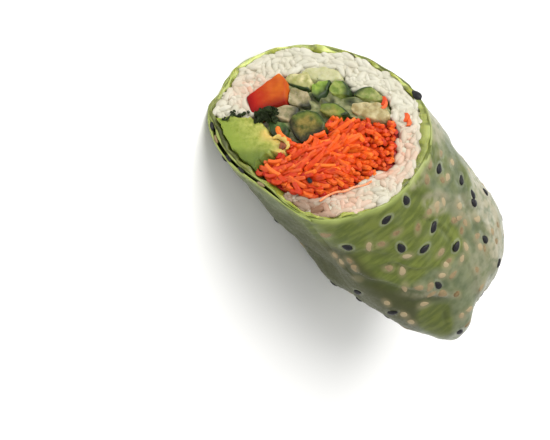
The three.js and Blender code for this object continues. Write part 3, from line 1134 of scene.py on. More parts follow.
@dataclass(frozen=True)
class WildFolds:
    """Long wandering creases for the sides that no listed fold describes.

    starts and lengths are along the roll, lean and sway turn a crease's line round it, in degrees, and fading
    is how it starts and ends.
    """

    count: int = 26
    starts: Pair = (-12.0, 45.0)
    lengths: Pair = (12.0, 34.0)
    lean: float = 0.45
    sways: Pair = (2.0, 7.0)
    phases: Pair = (0.0, 6.28)
    bend: float = 6.0
    widths: Pair = (0.5, 1.5)
    heights: Pair = (0.3, 1.0)
    fading: Pair = (5.0, 6.0)
    most: float = 1.5
    seed: int = 21

    def at(self, angle: Array, along: Array) -> Array:
        """The sum of all creases, about -1 to 1.

        Each is a ridge beside a valley, RIDGE * d * exp(-d^2), where d is the way round the roll to its line
        over its width.
        """
        rng = np.random.default_rng(self.seed)
        total = np.zeros_like(angle)
        for _ in range(self.count):
            start, length = rng.uniform(*self.starts), rng.uniform(*self.lengths)
            lean = rng.normal(0.0, self.lean)
            sway, phase = rng.uniform(*self.sways), rng.uniform(*self.phases)
            width, height = rng.uniform(*self.widths), rng.uniform(*self.heights)
            middle = rng.uniform(-FULL_TURN / 2, FULL_TURN / 2)
            line = middle + lean * (along - start) + sway * np.sin(along / self.bend + phase)
            away = half_turn(angle - line) * radians(FORM.radius) / width
            end = start + length
            shown = plateau(along, start, start + self.fading[0], end, end + self.fading[1])
            total += height * shown * away * np.exp(-(away**2)) * RIDGE
        return np.clip(total, -self.most, self.most)


@dataclass
class RicePaper:
    """The rice paper: a wrinkled skin, closed at the folded end, with the free flap of the lap over it.

    facing and turned tell the seen side from the others. gather and calm are plateaus along the stations,
    where the end is tucked and where the form is free of the rims. ring_at and ring_width, mound_reach and
    warm_reach are measures of the nearest seed. pale holds milky paper and painted highlights, dim painted
    shade, and hidden_dim a weaker painted shade for the unseen sides. layers lie over the paper's own
    colour: a mask, a share and a colour each; the shade and crease layers paint shade, and the lip layer
    is the lime cut edge with a painted highlight.
    """

    skin: OuterSkin
    sesame: Sesame
    thickness: float = 0.45
    behind: float = 0.9
    flap_rows: int = 70
    flap_columns: int = 110
    flap_sink: float = 0.4
    under_flap: float = 0.15
    inner_stations: Floats = (2.0, 1.95, 1.8, 1.6, 1.3, 1.0, 0.6, 0.2, 0.02, 0.0)
    green: tuple[Region, ...] = (
        Region(((288, 212), (330, 224), (372, 212), (402, 190), (418, 178), (432, 190), (436, 205),
                (452, 216), (463, 242), (450, 262), (428, 272), (402, 291), (380, 288), (362, 272),
                (342, 256), (318, 244))),
        Region(((424, 308), (450, 307), (450, 330), (438, 334), (414, 322)), 4.0, 1.1),
        Region(((432, 138), (443, 140), (447, 178), (436, 182)), 4.0, 0.5),
        Region(((460, 166), (478, 172), (484, 192), (466, 190)), 4.0, 0.55),
        Region(((368, 280), (386, 283), (400, 288), (396, 292), (376, 289)), 3.0, 1.0),
    )
    # Milky paper, and painted highlights along the lit right edge, on folds and by the rim.
    pale: tuple[Region, ...] = (
        Region(((428, 108), (444, 130), (442, 144), (432, 140), (426, 120)), 5.0, 0.6),
        Region(((426, 194), (440, 190), (452, 200), (446, 212), (434, 214), (424, 206)), 4.0, 0.6),
        Region(((472, 172), (492, 195), (503, 230), (500, 262), (488, 262), (486, 225), (474, 196)),
               7.0, 0.9),
        Region(((400, 293), (448, 293), (450, 299), (404, 298)), 3.0, 0.55),
        Region(((418, 150), (428, 154), (424, 180), (410, 188)), 3.0, 0.5),
        Region(((404, 184), (390, 200), (380, 208), (384, 202), (398, 188)), 2.0, 0.5),
        Region(((454, 196), (476, 198), (486, 214), (470, 220), (456, 212)), 5.0, 0.5),
        Region(((470, 250), (498, 246), (492, 290), (476, 300)), 8.0, 0.35),
    )
    # Painted shade on the lower left, under the lap and over the tail.
    dim: tuple[Region, ...] = (
        Region(((300, 228), (322, 241), (348, 252), (370, 270), (394, 290), (440, 300), (420, 306),
                (416, 336), (380, 320), (330, 284), (290, 250)), 7.0, 1.0),
        Region(((206, 128), (222, 160), (250, 186), (276, 208), (300, 222), (322, 247), (300, 250),
                (262, 222), (226, 182), (204, 150)), 4.0, 0.8),
        Region(((424, 306), (452, 304), (452, 332), (438, 336), (412, 322)), 5.0, 0.3),
        Region(((320, 244), (342, 250), (352, 268), (336, 274), (318, 258)), 5.0, 1.0),
    )
    folds: tuple[Fold, ...] = (
        Fold(((330, 247), (348, 253), (366, 250), (384, 254), (404, 251)), 1.4, 0.2),
        Fold(((346, 262), (366, 277), (384, 281), (404, 288), (424, 290), (446, 288)), 1.5, 0.45),
        Fold(((398, 300), (418, 299), (436, 296), (456, 300)), 1.2, 0.4),
        Fold(((404, 186), (424, 196), (440, 194), (454, 206), (456, 222)), 1.4, 0.22),
        Fold(((448, 306), (447, 318), (449, 330)), 0.8, 0.3),
        Fold(((372, 268), (392, 262), (414, 268), (432, 266)), 0.9, 0.25),
        Fold(((452, 150), (462, 172), (466, 196), (474, 216)), 1.2, 0.3),
        Fold(((430, 128), (436, 150), (434, 172)), 0.9, 0.28),
        Fold(((480, 216), (488, 240), (486, 268)), 1.2, 0.3),
        Fold(((414, 214), (436, 222), (452, 238), (456, 262)), 0.9, 0.22),
    )
    gloss: Pair = (0.24, 0.0)
    # The lime lip along the cut edge: partly the paper's own edge, partly a painted highlight, left off round
    # one angle.
    lip: float = 0.9
    dark_lip: float = 160.0
    lip_turn: float = 30.0
    wild: WildFolds = WildFolds()
    wild_depth: float = 0.42
    wild_when_seen: float = 0.25
    broad: Ripple = Ripple(13.0, 22, 0.22)
    fine: Ripple = Ripple(4.2, 23, 0.05)
    clouds: Ripple = Ripple(15.0, 24)
    specks: Ripple = Ripple(5.0, 25, 0.1)
    rim_wave: Ripple = Ripple(6.0, 5, 0.25)
    turned: Pair = (-0.3, -0.05)
    gather: tuple[float, float, float, float] = (0.95, 1.5, 1.9, 2.0)
    tucks: float = 17.0
    tuck_twist: float = 150.0
    tuck_depth: float = 0.22
    calm: tuple[float, float, float, float] = (0.0, 0.03, 1.93, 2.0)
    ring_at: float = 1.18
    ring_width: float = 0.24
    ring_height: float = 0.13
    mound_reach: float = 1.5
    mound_height: float = 0.14
    warm_reach: float = 1.25
    cloud_edge: Pair = (0.0, 1.1)
    cloud_green: float = 0.8
    cling: float = 7.0
    rim_cling: float = 4.0
    rim_green: float = 0.9
    # On the far sides the paper is paler higher up.
    hidden_veil: float = 0.45
    veil_heights: Pair = (6.0, 24.0)
    # A weaker painted shade on the sides that the camera doesn't see.
    hidden_dim: float = 0.25
    # How strongly shade is painted into the folds' valleys.
    crease_dark: float = 2.2
    joined_over: float = 4.0
    edge_sink: float = 0.8
    sheet: FoodFinish = FoodFinish(
        "rice paper", (118, 124, 92), (90, 100, 68), 3.2, relief=0.04, grain=0.7, dry=0.5, wet=0.32,
        specular=0.2
    )
    vein_size: float = 1.6
    vein_stretch: Triple = (4.0, 1.0, 4.0)
    vein_edge: Pair = (0.38, 0.66)
    leaf_colours: tuple[Colour, Colour] = ((82, 94, 24), (108, 118, 44))
    leaf_share: float = 0.9
    haze_size: float = 2.6
    haze_edge: Pair = (0.25, 0.6)
    # The milky colour, also used for the painted highlights.
    haze_and_highlight: Colour = (166, 159, 134)
    # Painted shade, pale rings round black seeds, the tan glow round tan seeds, painted shade in the folds'
    # valleys, and the lime lip with its painted highlight.
    layers: tuple[tuple[Mask, float, Colour], ...] = (
        (Mask.SHADE, 0.9, (66, 68, 36)), (Mask.HALO, 0.42, (152, 154, 138)),
        (Mask.WARM_AND_HIGHLIGHT, 0.5, (150, 138, 104)), (Mask.CREASE, 0.45, (66, 74, 38)),
        (Mask.SKIN, 0.6, (172, 184, 104)),
    )
    scatter: float = 0.2
    scatter_reach: Triple = (1.0, 1.0, 0.7)
    scatter_depth: float = 0.8

    def facing(self, points: Array) -> Array:
        """How far the roll's skin faces the camera, by the way out to points from the roll's middle line."""
        middle = points * np.array([0.0, 1.0, 0.0])
        middle[:, 1] = np.minimum(middle[:, 1], FORM.start_high)
        return smoothstep((unit(VIEW.position - points) * unit(points - middle)).sum(-1), *self.turned)

    def dress(self, points: Array, angle: Array, station: Array) -> tuple[Array, Array, Masks]:
        """The paper's fine form over the smooth skin, and what the finish needs to know.

        The form sums broad waves, the folds, finer crumpling towards the closed end, and a rise of the paper
        over and round each seed. The leaf shows green where the paper clings to it: near the cut, in the
        named regions and in random clouds on the far sides. A milky veil lies where the paper stands off, in
        the pale regions, which also hold painted highlights, and on the far sides more of it higher up.
        Painted shade lies in the dim regions, more weakly on the far sides, and in the valleys of the folds,
        and the lime lip at the cut carries a painted highlight.

        Args:
            points: the smooth skin's points, by row and column.
            angle: degrees round the roll.
            station: the place along it.

        Returns:
            The height over the skin without the seeds' part, the seeds' part, and the masks.
        """
        shape, flat, angle, station = angle.shape, points.reshape(-1, 3), angle.ravel(), station.ravel()
        facing, pixels, (away, black) = self.facing(flat), VIEW.project(flat), self.sesame.nearness(flat)
        wild = self.wild_depth * self.wild.at(angle, flat[:, 1])
        named = self.wild_when_seen * wild + sum(fold.profile(pixels) for fold in self.folds)
        folds, calm = lerp(wild, named, facing), plateau(station, *self.calm)
        tucks = np.sin(np.radians(self.tucks * angle + self.tuck_twist * station))
        tucks = tucks * plateau(station, *self.gather)
        height = calm * (self.broad.at(flat) + self.fine.at(flat) + folds + self.tuck_depth * tucks)
        ring = fade(away - self.ring_at, self.ring_width) * black
        mound = fade(away, self.mound_reach, 4) * ~black
        rise = calm * (self.ring_height * ring + self.mound_height * mound)
        to_cut = behind_cut(flat) * cos(radians(FORM.bias))
        clouds = self.cloud_green * smoothstep(self.clouds.at(flat), *self.cloud_edge)
        green, pale, dim = (np.max([region.share(pixels) for region in regions], axis=0)
                            for regions in (self.green, self.pale, self.dim))
        green = lerp(np.maximum(clouds, fade(to_cut, self.cling)), green, facing)
        green = np.maximum(green, self.rim_green * fade(to_cut, self.rim_cling)) + self.specks.at(flat)
        masks = {
            Mask.GREEN: np.clip(green, 0.0, 1.0),
            # Milky paper and painted highlights where seen; on the far sides, paler higher up.
            Mask.VEIL_AND_HIGHLIGHT: lerp(self.hidden_veil * smoothstep(flat[:, 2], *self.veil_heights), pale, facing),
            # The lime lip at the cut: the paper's edge with a painted highlight.
            Mask.SKIN: fade(to_cut, self.lip) * (1.0 - bell(angle, self.dark_lip, self.lip_turn)),
            # Painted shade in the valleys of the folds.
            Mask.CREASE: np.clip(-self.crease_dark * folds, 0.0, 1.0),
            Mask.HALO: ring,
            Mask.WARM_AND_HIGHLIGHT: fade(away, self.warm_reach, 4) * ~black,
            # Painted shade: the dim regions where seen, a weaker share on the other sides.
            Mask.SHADE: lerp(self.hidden_dim, dim, facing),
        }
        masks = {mask: values.reshape(shape) for mask, values in masks.items()}
        return height.reshape(shape), rise.reshape(shape), masks

    def finish(self) -> bpy.types.Material:
        """Moist paper over a leaf: sage where it stands off, green where it clings, milky where pale; painted
        highlights and shade lie over it.
        """
        finish, colour = self.sheet.start()
        (low, high), (start, end) = self.vein_edge, self.haze_edge
        veins = finish.noise(self.vein_size, 3.0, self.vein_stretch)
        leaf = finish.mix(finish.ranged(veins, True, from_min=low, from_max=high), *self.leaf_colours)
        colour = finish.mix(finish.times(finish.mask(Mask.GREEN), self.leaf_share), colour, leaf)
        # The milky colour and the painted highlights, broken up by noise.
        veil_and_highlight = finish.mask(Mask.VEIL_AND_HIGHLIGHT)
        haze_and_highlight = finish.ranged(finish.noise(self.haze_size), True, from_min=start, from_max=end)
        colour = finish.mix(finish.times(veil_and_highlight, haze_and_highlight), colour, self.haze_and_highlight)
        # Lays on painted shade, seed rings and glows, painted crease shade and the lip's painted highlight.
        for mask, share, layer in self.layers:
            colour = finish.mix(finish.times(finish.mask(mask), share), colour, layer)
        finish.feed("Base Color", colour)
        gloss = finish.ranged(finish.mask(Mask.SHADE), to_min=self.gloss[0], to_max=self.gloss[1])
        finish.feed("Coat Weight", gloss)
        finish.set(subsurface_weight=self.scatter, subsurface_radius=self.scatter_reach,
                   subsurface_scale=self.scatter_depth * MM)
        return finish.material

    def sunk(self, angle: Array, station: Array) -> Array:
        """How far the flap sinks into the paper at its joined edge, its far end and its free edge."""
        lap = FORM.lap
        joined = 1.0 - (angle - lap.joined) / self.joined_over
        ends = np.maximum(joined, smoothstep(station, lap.reach - lap.far_end, lap.reach))
        return self.flap_sink * np.clip(np.maximum(ends, self.edge_sink * lap.edge(angle, station)), 0.0, 1.0)

    def flap(self) -> tuple[Shell, Masks]:
        """The free flap of the lap, sunk into the skin at its joined edge and its far end."""
        lap = FORM.lap
        angle, station = np.meshgrid(np.linspace(lap.joined, lap.end, self.flap_columns),
                                     np.linspace(0.0, lap.reach, self.flap_rows))
        over = FORM.surface(angle, station, 0.0, lap.edge(angle, station))
        height, rise, masks = self.dress(over, angle, station)
        top = over + radial(angle) * (height + rise - self.sunk(angle, station))[..., None]
        top[..., 2] = np.maximum(top[..., 2], -FORM.rest_depth)
        return thick_sheet(top, top - radial(angle) * self.thickness), masks

    def build(self) -> Array:
        """Makes the skin and its flap as one piece.

        Returns:
            How far the paper stands over the smooth skin at each grid point, without the seeds' part.
        """
        skin = self.skin
        height, rise, masks = self.dress(skin.points, skin.angle, skin.station)
        smooth, sunk = FORM.surface(skin.angle, skin.station), self.sunk(skin.angle, skin.station)
        held = np.where(skin.lapped, sunk / self.flap_sink, 1.0)
        lift = lerp(self.under_flap, 1.0, held) * (height + rise)
        outside = smooth + OuterSkin.normals_of(smooth) * lift[..., None]
        outside[..., 2] = np.maximum(outside[..., 2], -FORM.rest_depth)
        outside[0, :, 1] = outside[0, :, 2] * FORM.slope + self.rim_wave.at(smooth[0])
        angle, station = np.meshgrid(skin.angles, np.array(self.inner_stations))
        deeper = self.behind * smoothstep(station, 0.0, SETTLED)
        within = FORM.surface(angle, station, self.thickness + deeper)
        poles = np.stack([within[0].mean(axis=0), outside[-1].mean(axis=0)])
        poles = poles[:, None].repeat(skin.columns, axis=1)
        shell = closed_shell(np.concatenate([poles[:1], within[1:], outside[:-1], poles[1:]]))
        flap, flap_masks = self.flap()
        bare = np.zeros(1 + (len(self.inner_stations) - 2) * skin.columns)
        for mask, values in masks.items():
            on_flap = np.tile(flap_masks[mask].ravel(), 2)
            masks[mask] = np.concatenate([bare, values[0], values[:-1].ravel(), values[-1, :1], on_flap])
        make_piece("rice_paper_skin", together(shell, flap), self.finish(), "rice_paper", masks)
        return height - np.where(skin.lapped, sunk, 0.0)


@dataclass
class GreenLeaf:
    """The leaf under the paper, whose ruffled edge shows round the cut with painted light along it.

    bands and shades each hold an angle, a size and a width; the shades are painted shade. The leaf lies
    outer deep at the rim and deeper than that behind it. rim_span is where its thickness leaves the rim's
    own.
    """

    outer: float = 0.38
    deeper: float = 1.1
    columns: int = 360
    stations: Floats = (0.0, 0.008, 0.02, 0.035, 0.06, 0.12, 0.3, 0.7, 1.0, 1.3, 1.6, 1.85, 2.0)
    bands: Triples = (
        (-156, 0.95, 12), (-138, -0.2, 6), (-118, 0.35, 5), (-101, 0.3, 6), (-84, 0.15, 7), (-169, -0.3, 4),
        (172, 0.3, 8), (152, 0.75, 7), (126, 1.7, 13), (106, 1.1, 14), (80, 0.3, 8), (40, 0.3, 20),
        (12, 0.2, 15), (-46, 0.7, 18),
    )
    base_band: float = 0.4
    least_band: float = 0.25
    # Painted shade on two sides of the rim: an angle, a strength and a width each.
    shades: Triples = ((-52.0, 0.95, 30.0), (95.0, 0.32, 50.0))
    # Where the painted light on the rim's cut face is strongest, and how it fades and varies.
    lit_at: float = -150.0
    lit_width: float = 70.0
    scars: Pixels = ((405, 185), (411, 179), (408, 182), (352, 54), (366, 59), (420, 97), (423, 101))
    scar_reach: float = 1.1
    thickness: float = 1.1
    tip: float = 1.7
    rim_span: Pair = (0.01, 0.1)
    ragged: Ripple = Ripple(3.0, 4, 0.22)
    wave: Ripple = Ripple(5.0, 5, 0.35)
    wave_out: float = 0.15
    frill: Ripple = Ripple(2.2, 6)
    frill_height: float = 0.15
    lit_edge: float = 0.9
    lit_least: float = 0.25
    lit_middle: float = 0.6
    glow: Ripple = Ripple(4.0, 9, 0.5)
    blots: Ripple = Ripple(3.4, 11)
    blot_edge: Pair = (0.8, 1.5)
    blot_shade: float = 0.7
    blade: FoodFinish = FoodFinish(
        "green leaf", (158, 163, 58), (136, 146, 42), 2.5, relief=0.08, grain=0.6, dry=0.5, wet=0.35,
        soft=0.6
    )
    # The colour of the painted light on the rim.
    lit: Colour = (222, 232, 152)
    # The colour of the dark blots, the scars and the painted shade.
    dull: Colour = (64, 70, 26)

    def band_at(self, angle: Array) -> Array:
        """The rim's thickness at an angle."""
        band = self.base_band + sum(width * bell(angle, at, spread) for at, width, spread in self.bands)
        return np.maximum(band, self.least_band)

    def cup(self) -> Shell:
        """A closed cup with a thick wavy rim."""
        angle, station = np.meshgrid(np.linspace(0.0, FULL_TURN, self.columns, endpoint=False), self.stations)
        near_rim = 1.0 - smoothstep(station, *self.rim_span)
        outer = FORM.surface(angle, station, self.outer + self.deeper * smoothstep(station, 0.0, SETTLED))
        rim = np.maximum(self.band_at(angle) + self.ragged.at(outer), self.least_band)
        thickness = self.thickness + near_rim * (rim - self.thickness)
        inner = outer - unit(outer * np.array([1.0, 0.0, 1.0])) * thickness[..., None]
        inner[..., 1] += (inner[..., 2] - outer[..., 2]) * FORM.slope * (1.0 - np.minimum(station, 1.0))
        wave = near_rim * (self.wave.at(outer) - self.wave_out)
        outer[..., 1] += wave
        inner[..., 1] += wave + self.frill_height * near_rim * self.frill.at(inner)
        tip = np.broadcast_to(np.array([0.0, FORM.half_length, -FORM.drop]), (1, self.columns, 3))
        ends = tip - [0, self.tip, 0], tip - [0, self.outer, 0]
        return closed_shell(np.concatenate([ends[0], inner[-2::-1], outer[:-1], ends[1]]))

    def build(self) -> None:
        """Makes the leaf, with painted light along its rim, painted shade on two sides, and dark blots and
        scars.
        """
        shell = self.cup()
        points = shell[0]
        way = np.degrees(np.arctan2(points[:, 2], points[:, 0]))
        # Painted light along the cut rim, broken by noise and strongest round one angle.
        lit = np.clip(self.lit_middle + self.glow.at(points), 0.0, 1.0)
        lit = fade(behind_cut(points), self.lit_edge) * lit
        lit = lit * lerp(self.lit_least, 1.0, bell(way, self.lit_at, self.lit_width))
        blots = self.blot_shade * smoothstep(self.blots.at(points), *self.blot_edge)
        scars = fade(closest(points, FORM.on_face(*VIEW.face_point(self.scars).T))[0], self.scar_reach)
        # Painted shade on two sides of the rim.
        dull = sum(strength * bell(way, at, width) for at, strength, width in self.shades)
        finish = self.blade.shaded({Mask.HALO: self.lit, Mask.SHADE: self.dull})
        masks = {Mask.HALO: lit, Mask.SHADE: np.maximum(np.maximum(blots, scars), dull)}
        make_piece("green_leaf_ruffle", shell, finish, "green_leaf", masks)


# ---------------------------------------------------------------- fillings
FILLING_LENGTH = 44.0
FILLING_TAPER = 0.86
WRAPPER_INSET = 1.9


@dataclass(frozen=True)
class Stick:
    """A filling that runs back from the cut face.

    outline holds its corners across and up the cut face. stiff is 0 for a soft outline and 1 for straight
    edges. proud is how far its end stands out of the cut, and lean how much more it does across and up.
    edge is how far its rim is rounded over, in the steps of rounding: shares of edge in from the outline and
    back. uneven and wave are the height and size of the waves on its end, ragged and rags of its outline's.
    skin names the first and last corner between which the peel shows, and dark those between which it lies
    in deep shade, which reaches in by shadow. steps is the points on each stretch of the outline, shares
    where its end's rings lie, and runs where those along its sides do.
    """

    name: str
    outline: Pairs
    stiff: float
    proud: float
    skin: tuple[int, int] | None = None
    dark: tuple[int, int] | None = None
    lean: Pair = (0.0, 0.0)
    edge: float = 0.45
    uneven: float = 0.1
    wave: float = 2.2
    shadow: float = 2.2
    ragged: float = 0.0
    steps: int = 10
    shares: Floats = (0.0, 0.18, 0.36, 0.54, 0.7, 0.84)
    runs: Floats = (0.06, 0.3, 0.65, 1.0)
    rounding: Pairs = ((1.0, 0.0), (0.6, 0.08), (0.3, 0.25), (0.1, 0.55), (0.0, 1.0))
    rags: float = 1.6

    @property
    def line(self) -> Array:
        """The outline as a fine closed line, kept inside the wrapper."""
        line = FORM.held_inside(closed_curve(np.array(self.outline), self.stiff, self.steps), WRAPPER_INSET)
        if not self.ragged:
            return line
        rags = Ripple(self.rags, len(self.name), self.ragged).at(np.column_stack([line, np.zeros(len(line))]))
        return line + unit(line - line.mean(axis=0)) * rags[:, None]

    def shell(self) -> Shell:
        """The stick's surface.

        Rings shrink from the outline to its middle over the cut end, with a rounded edge, and follow the
        outline straight back along the roll, drawn in a little by the taper.

        Returns:
            The vertices and the faces.
        """
        line = self.line
        middle = line.mean(axis=0)
        reach = np.linalg.norm(line - middle, axis=1)
        inwards, backwards = (np.array(column)[:, None] for column in zip(*self.rounding))
        flat = np.array(self.shares)[:, None] * (1.0 - self.edge / reach)
        shares = np.concatenate([flat, 1.0 - self.edge * inwards / reach])
        drops = self.edge * np.concatenate([0.0 * flat[:, :1], backwards])
        across = middle[0] + shares * (line[:, 0] - middle[0])
        up = middle[1] + shares * (line[:, 1] - middle[1])
        waves = Ripple(self.wave, len(self.name) * 7 + len(line), self.uneven)
        wavy = waves.at(grid_of(across, up, 0.0 * up))
        tilt = self.lean[0] * (across - middle[0]) + self.lean[1] * (up - middle[1])
        front = FORM.on_face(across, up, drops - self.proud - wavy - tilt)
        sides = np.repeat(front[-1:], len(self.runs), axis=0)
        sides[..., 1] = lerp(sides[..., 1], FILLING_LENGTH, np.array(self.runs)[:, None])
        shrink = 1.0 - (1.0 - FILLING_TAPER) * (sides[..., 1] - front[-1:, :, 1]) / FILLING_LENGTH
        sides[..., [0, 2]] *= shrink[..., None]
        back = np.broadcast_to(sides[-1].mean(axis=0), front[-1:].shape)
        return closed_shell(np.concatenate([front, sides, back]))

    def nearness(self, vertices: Array, span: tuple[int, int] | None, depth: float) -> Array:
        """How near each vertex is to a stretch of the outline: 1 on it, 0 at depth and beyond."""
        if span is None:
            return np.zeros(len(vertices))
        count = len(self.outline)
        corners = (span[1] - span[0]) % count or count
        numbers = (span[0] * self.steps + np.arange(corners * self.steps + 1)) % (count * self.steps)
        return 1.0 - smoothstep(closest(face_spots(vertices), self.line[numbers])[0], 0.0, depth)


AVOCADO = Stick(
    "avocado",
    ((12.5, -26), (8, -22.5), (5.6, -16.8), (6.2, -13.4), (8.2, -10.8), (8.4, -7.4),
     (9.6, -4.6), (11.6, -5), (12.6, -8.2), (16, -9.4), (19.4, -9.2), (21, -14.6)),
    0.45, 1.1, skin=(10, 0), edge=0.7, uneven=0.16, wave=2.6, ragged=0.3,
)
RED_PEPPER = Stick(
    "red_pepper",
    ((0.8, -21.6), (4.6, -17.8), (1, -14.8), (-2.6, -11.7), (-8.4, -14.4), (-9.6, -17.2)),
    0.85, 1.1, skin=(0, 2), lean=(-0.03, 0.04), edge=0.4, uneven=0.08, wave=2.6,
)
CUCUMBERS = (
    Stick("cucumber_1", ((-10.6, -15.8), (-13.6, -11), (-11.2, -8.9), (-9, -8.5), (-8.4, -11), (-8.2, -15)),
          0.5, 0.5, skin=(3, 5), lean=(-0.05, 0.05)),
    Stick("cucumber_2", ((-7.4, -13.2), (-8.3, -8.6), (-5.2, -6.1), (-3.5, -7.4), (-3.1, -11.4)),
          0.5, 0.3, dark=(2, 3), lean=(0.05, 0.05)),
    Stick("cucumber_3", ((-2, -11.6), (-3, -8.4), (0, -7.8), (2, -8.8), (2.4, -12.2), (1, -13.8)),
          0.5, 0.5, dark=(1, 2), lean=(0.04, -0.06)),
    Stick("cucumber_4", ((4.4, -13.2), (3, -9.2), (4.6, -7.2), (7.2, -7.6), (7.5, -10.8), (5.6, -12.8)),
          0.5, 0.2, skin=(2, 5), dark=(2, 4), lean=(-0.12, 0.05)),
    Stick("cucumber_5", ((2.2, -8.2), (-0.6, -7.2), (-2.8, -4.8), (-3.2, -2), (-1.8, 0.8), (0.6, 1.2),
                         (3.8, -0.8), (6, -3), (4.8, -5.8)),
          0.4, 1.0, skin=(1, 4), dark=(5, 9), lean=(-0.2, 0.03), edge=0.4, shadow=2.7),
    Stick("cucumber_6", ((-11, -8.3), (-14.3, -5), (-11.2, -4), (-7.7, -4.9), (-7.9, -7)),
          0.5, 0.6, skin=(1, 3), dark=(2, 4)),
    Stick("cucumber_7", ((-14.2, -3.9), (-15.6, -1.5), (-14.2, 1), (-12.2, 1.8), (-10.6, -2), (-11.4, -3.5)),
          0.5, 0.8, skin=(1, 3), dark=(2, 3), lean=(0.06, 0.0)),
    Stick("cucumber_8", ((-6.7, -3.2), (-8.6, 0), (-7.6, 4), (-6, 3.4), (-4.2, 0.4), (-4.4, -2.4)),
          0.3, 0.8, skin=(0, 3), lean=(0.08, 0.0), edge=0.5),
    Stick("cucumber_9", ((-13.1, 2.8), (-15.5, 3.3), (-17.4, 5.6), (-15.7, 10.8), (-14.3, 9), (-13.2, 6)),
          0.5, 0.6, skin=(0, 2), dark=(0, 1)),
    Stick("cucumber_10", ((-10.4, 3.6), (-12.6, 6.6), (-14.2, 10.6), (-11.8, 14), (-9.6, 12.6), (-8.2, 8.6),
                          (-8.4, 4.6)),
          0.4, 0.4, edge=0.7, uneven=0.13, wave=1.9),
)
PULP = Stick(
    "cucumber_pulp",
    ((-8, -16), (-13.4, -12.5), (-13.8, -5), (-14.6, -1), (-13.2, 2), (-15, 6), (-14.8, 11), (-11.8, 14),
     (-8.2, 9), (-7, 4), (-3.5, 0.4), (1, 0.6), (5, -2), (8, -9), (5.5, -13.4), (1, -14.2), (-4, -12)),
    0.2, -0.6, edge=0.8, uneven=0.4, wave=2.2, shares=(0.0, 0.1, 0.2, 0.3, 0.4, 0.5, 0.6, 0.7, 0.8, 0.9),
)
SLICE = Stick(
    "cucumber_slice",
    ((-11.8, -12.5), (-14.4, -12.6), (-17.4, -9), (-18.2, -4.6), (-16.2, -2.6), (-14, -4.8), (-12.6, -8.6)),
    0.2, 0.35, lean=(0.04, 0.0), edge=0.9, uneven=0.12,
)
CARROT_OUTLINE = (
    (7.2, -3.2), (3, -0.4), (-3.6, 1.2), (-6.8, 6.8), (-8.8, 13.2), (-10.6, 15.4), (-7.4, 17.8),
    (-4.6, 19.2), (0.6, 21.2), (3.4, 19.6), (7.6, 16.8), (12.2, 14.4), (17.4, 10), (19.8, 6),
    (20.2, -2), (19.6, -8), (13.6, -7.4), (9.8, -3.8),
)
CARROT_CORE = Stick("carrot", CARROT_OUTLINE, 0.5, -1.2, uneven=0.5, wave=2.6)


@dataclass(frozen=True)
class CucumberTone:
    """The colours of a stick's cut end: two of its flesh, by the peel, the peel and deep shade."""

    core: Colour
    flesh: Colour
    rim: Colour | None = None
    peel: Colour = (40, 62, 22)
    shadow: Colour = (30, 38, 16)

    def finish(self, name: str) -> bpy.types.Material:
        """Wet cucumber: flesh that greens towards the peel."""
        flesh = FoodFinish(f"{name} flesh", self.core, self.flesh, 1.6, relief=0.12, grain=0.55,
                           dry=0.45, wet=0.25, soft=0.9, coat=0.1, specular=0.25)
        rim = self.rim or self.flesh
        return flesh.shaded({Mask.GREEN: rim, Mask.SHADE: self.shadow, Mask.SKIN: self.peel})


@dataclass(frozen=True)
class Tint:
    """A colour by a stretch of a stick's outline, between two corners: its mask, reach and strength."""

    mask: Mask
    colour: Colour
    span: tuple[int, int]
    reach: float
    strength: float = 1.0

    def on(self, stick: Stick, shell: Shell) -> Array:
        """How strong the colour is at each vertex."""
        return self.strength * stick.nearness(shell[0], self.span, self.reach)


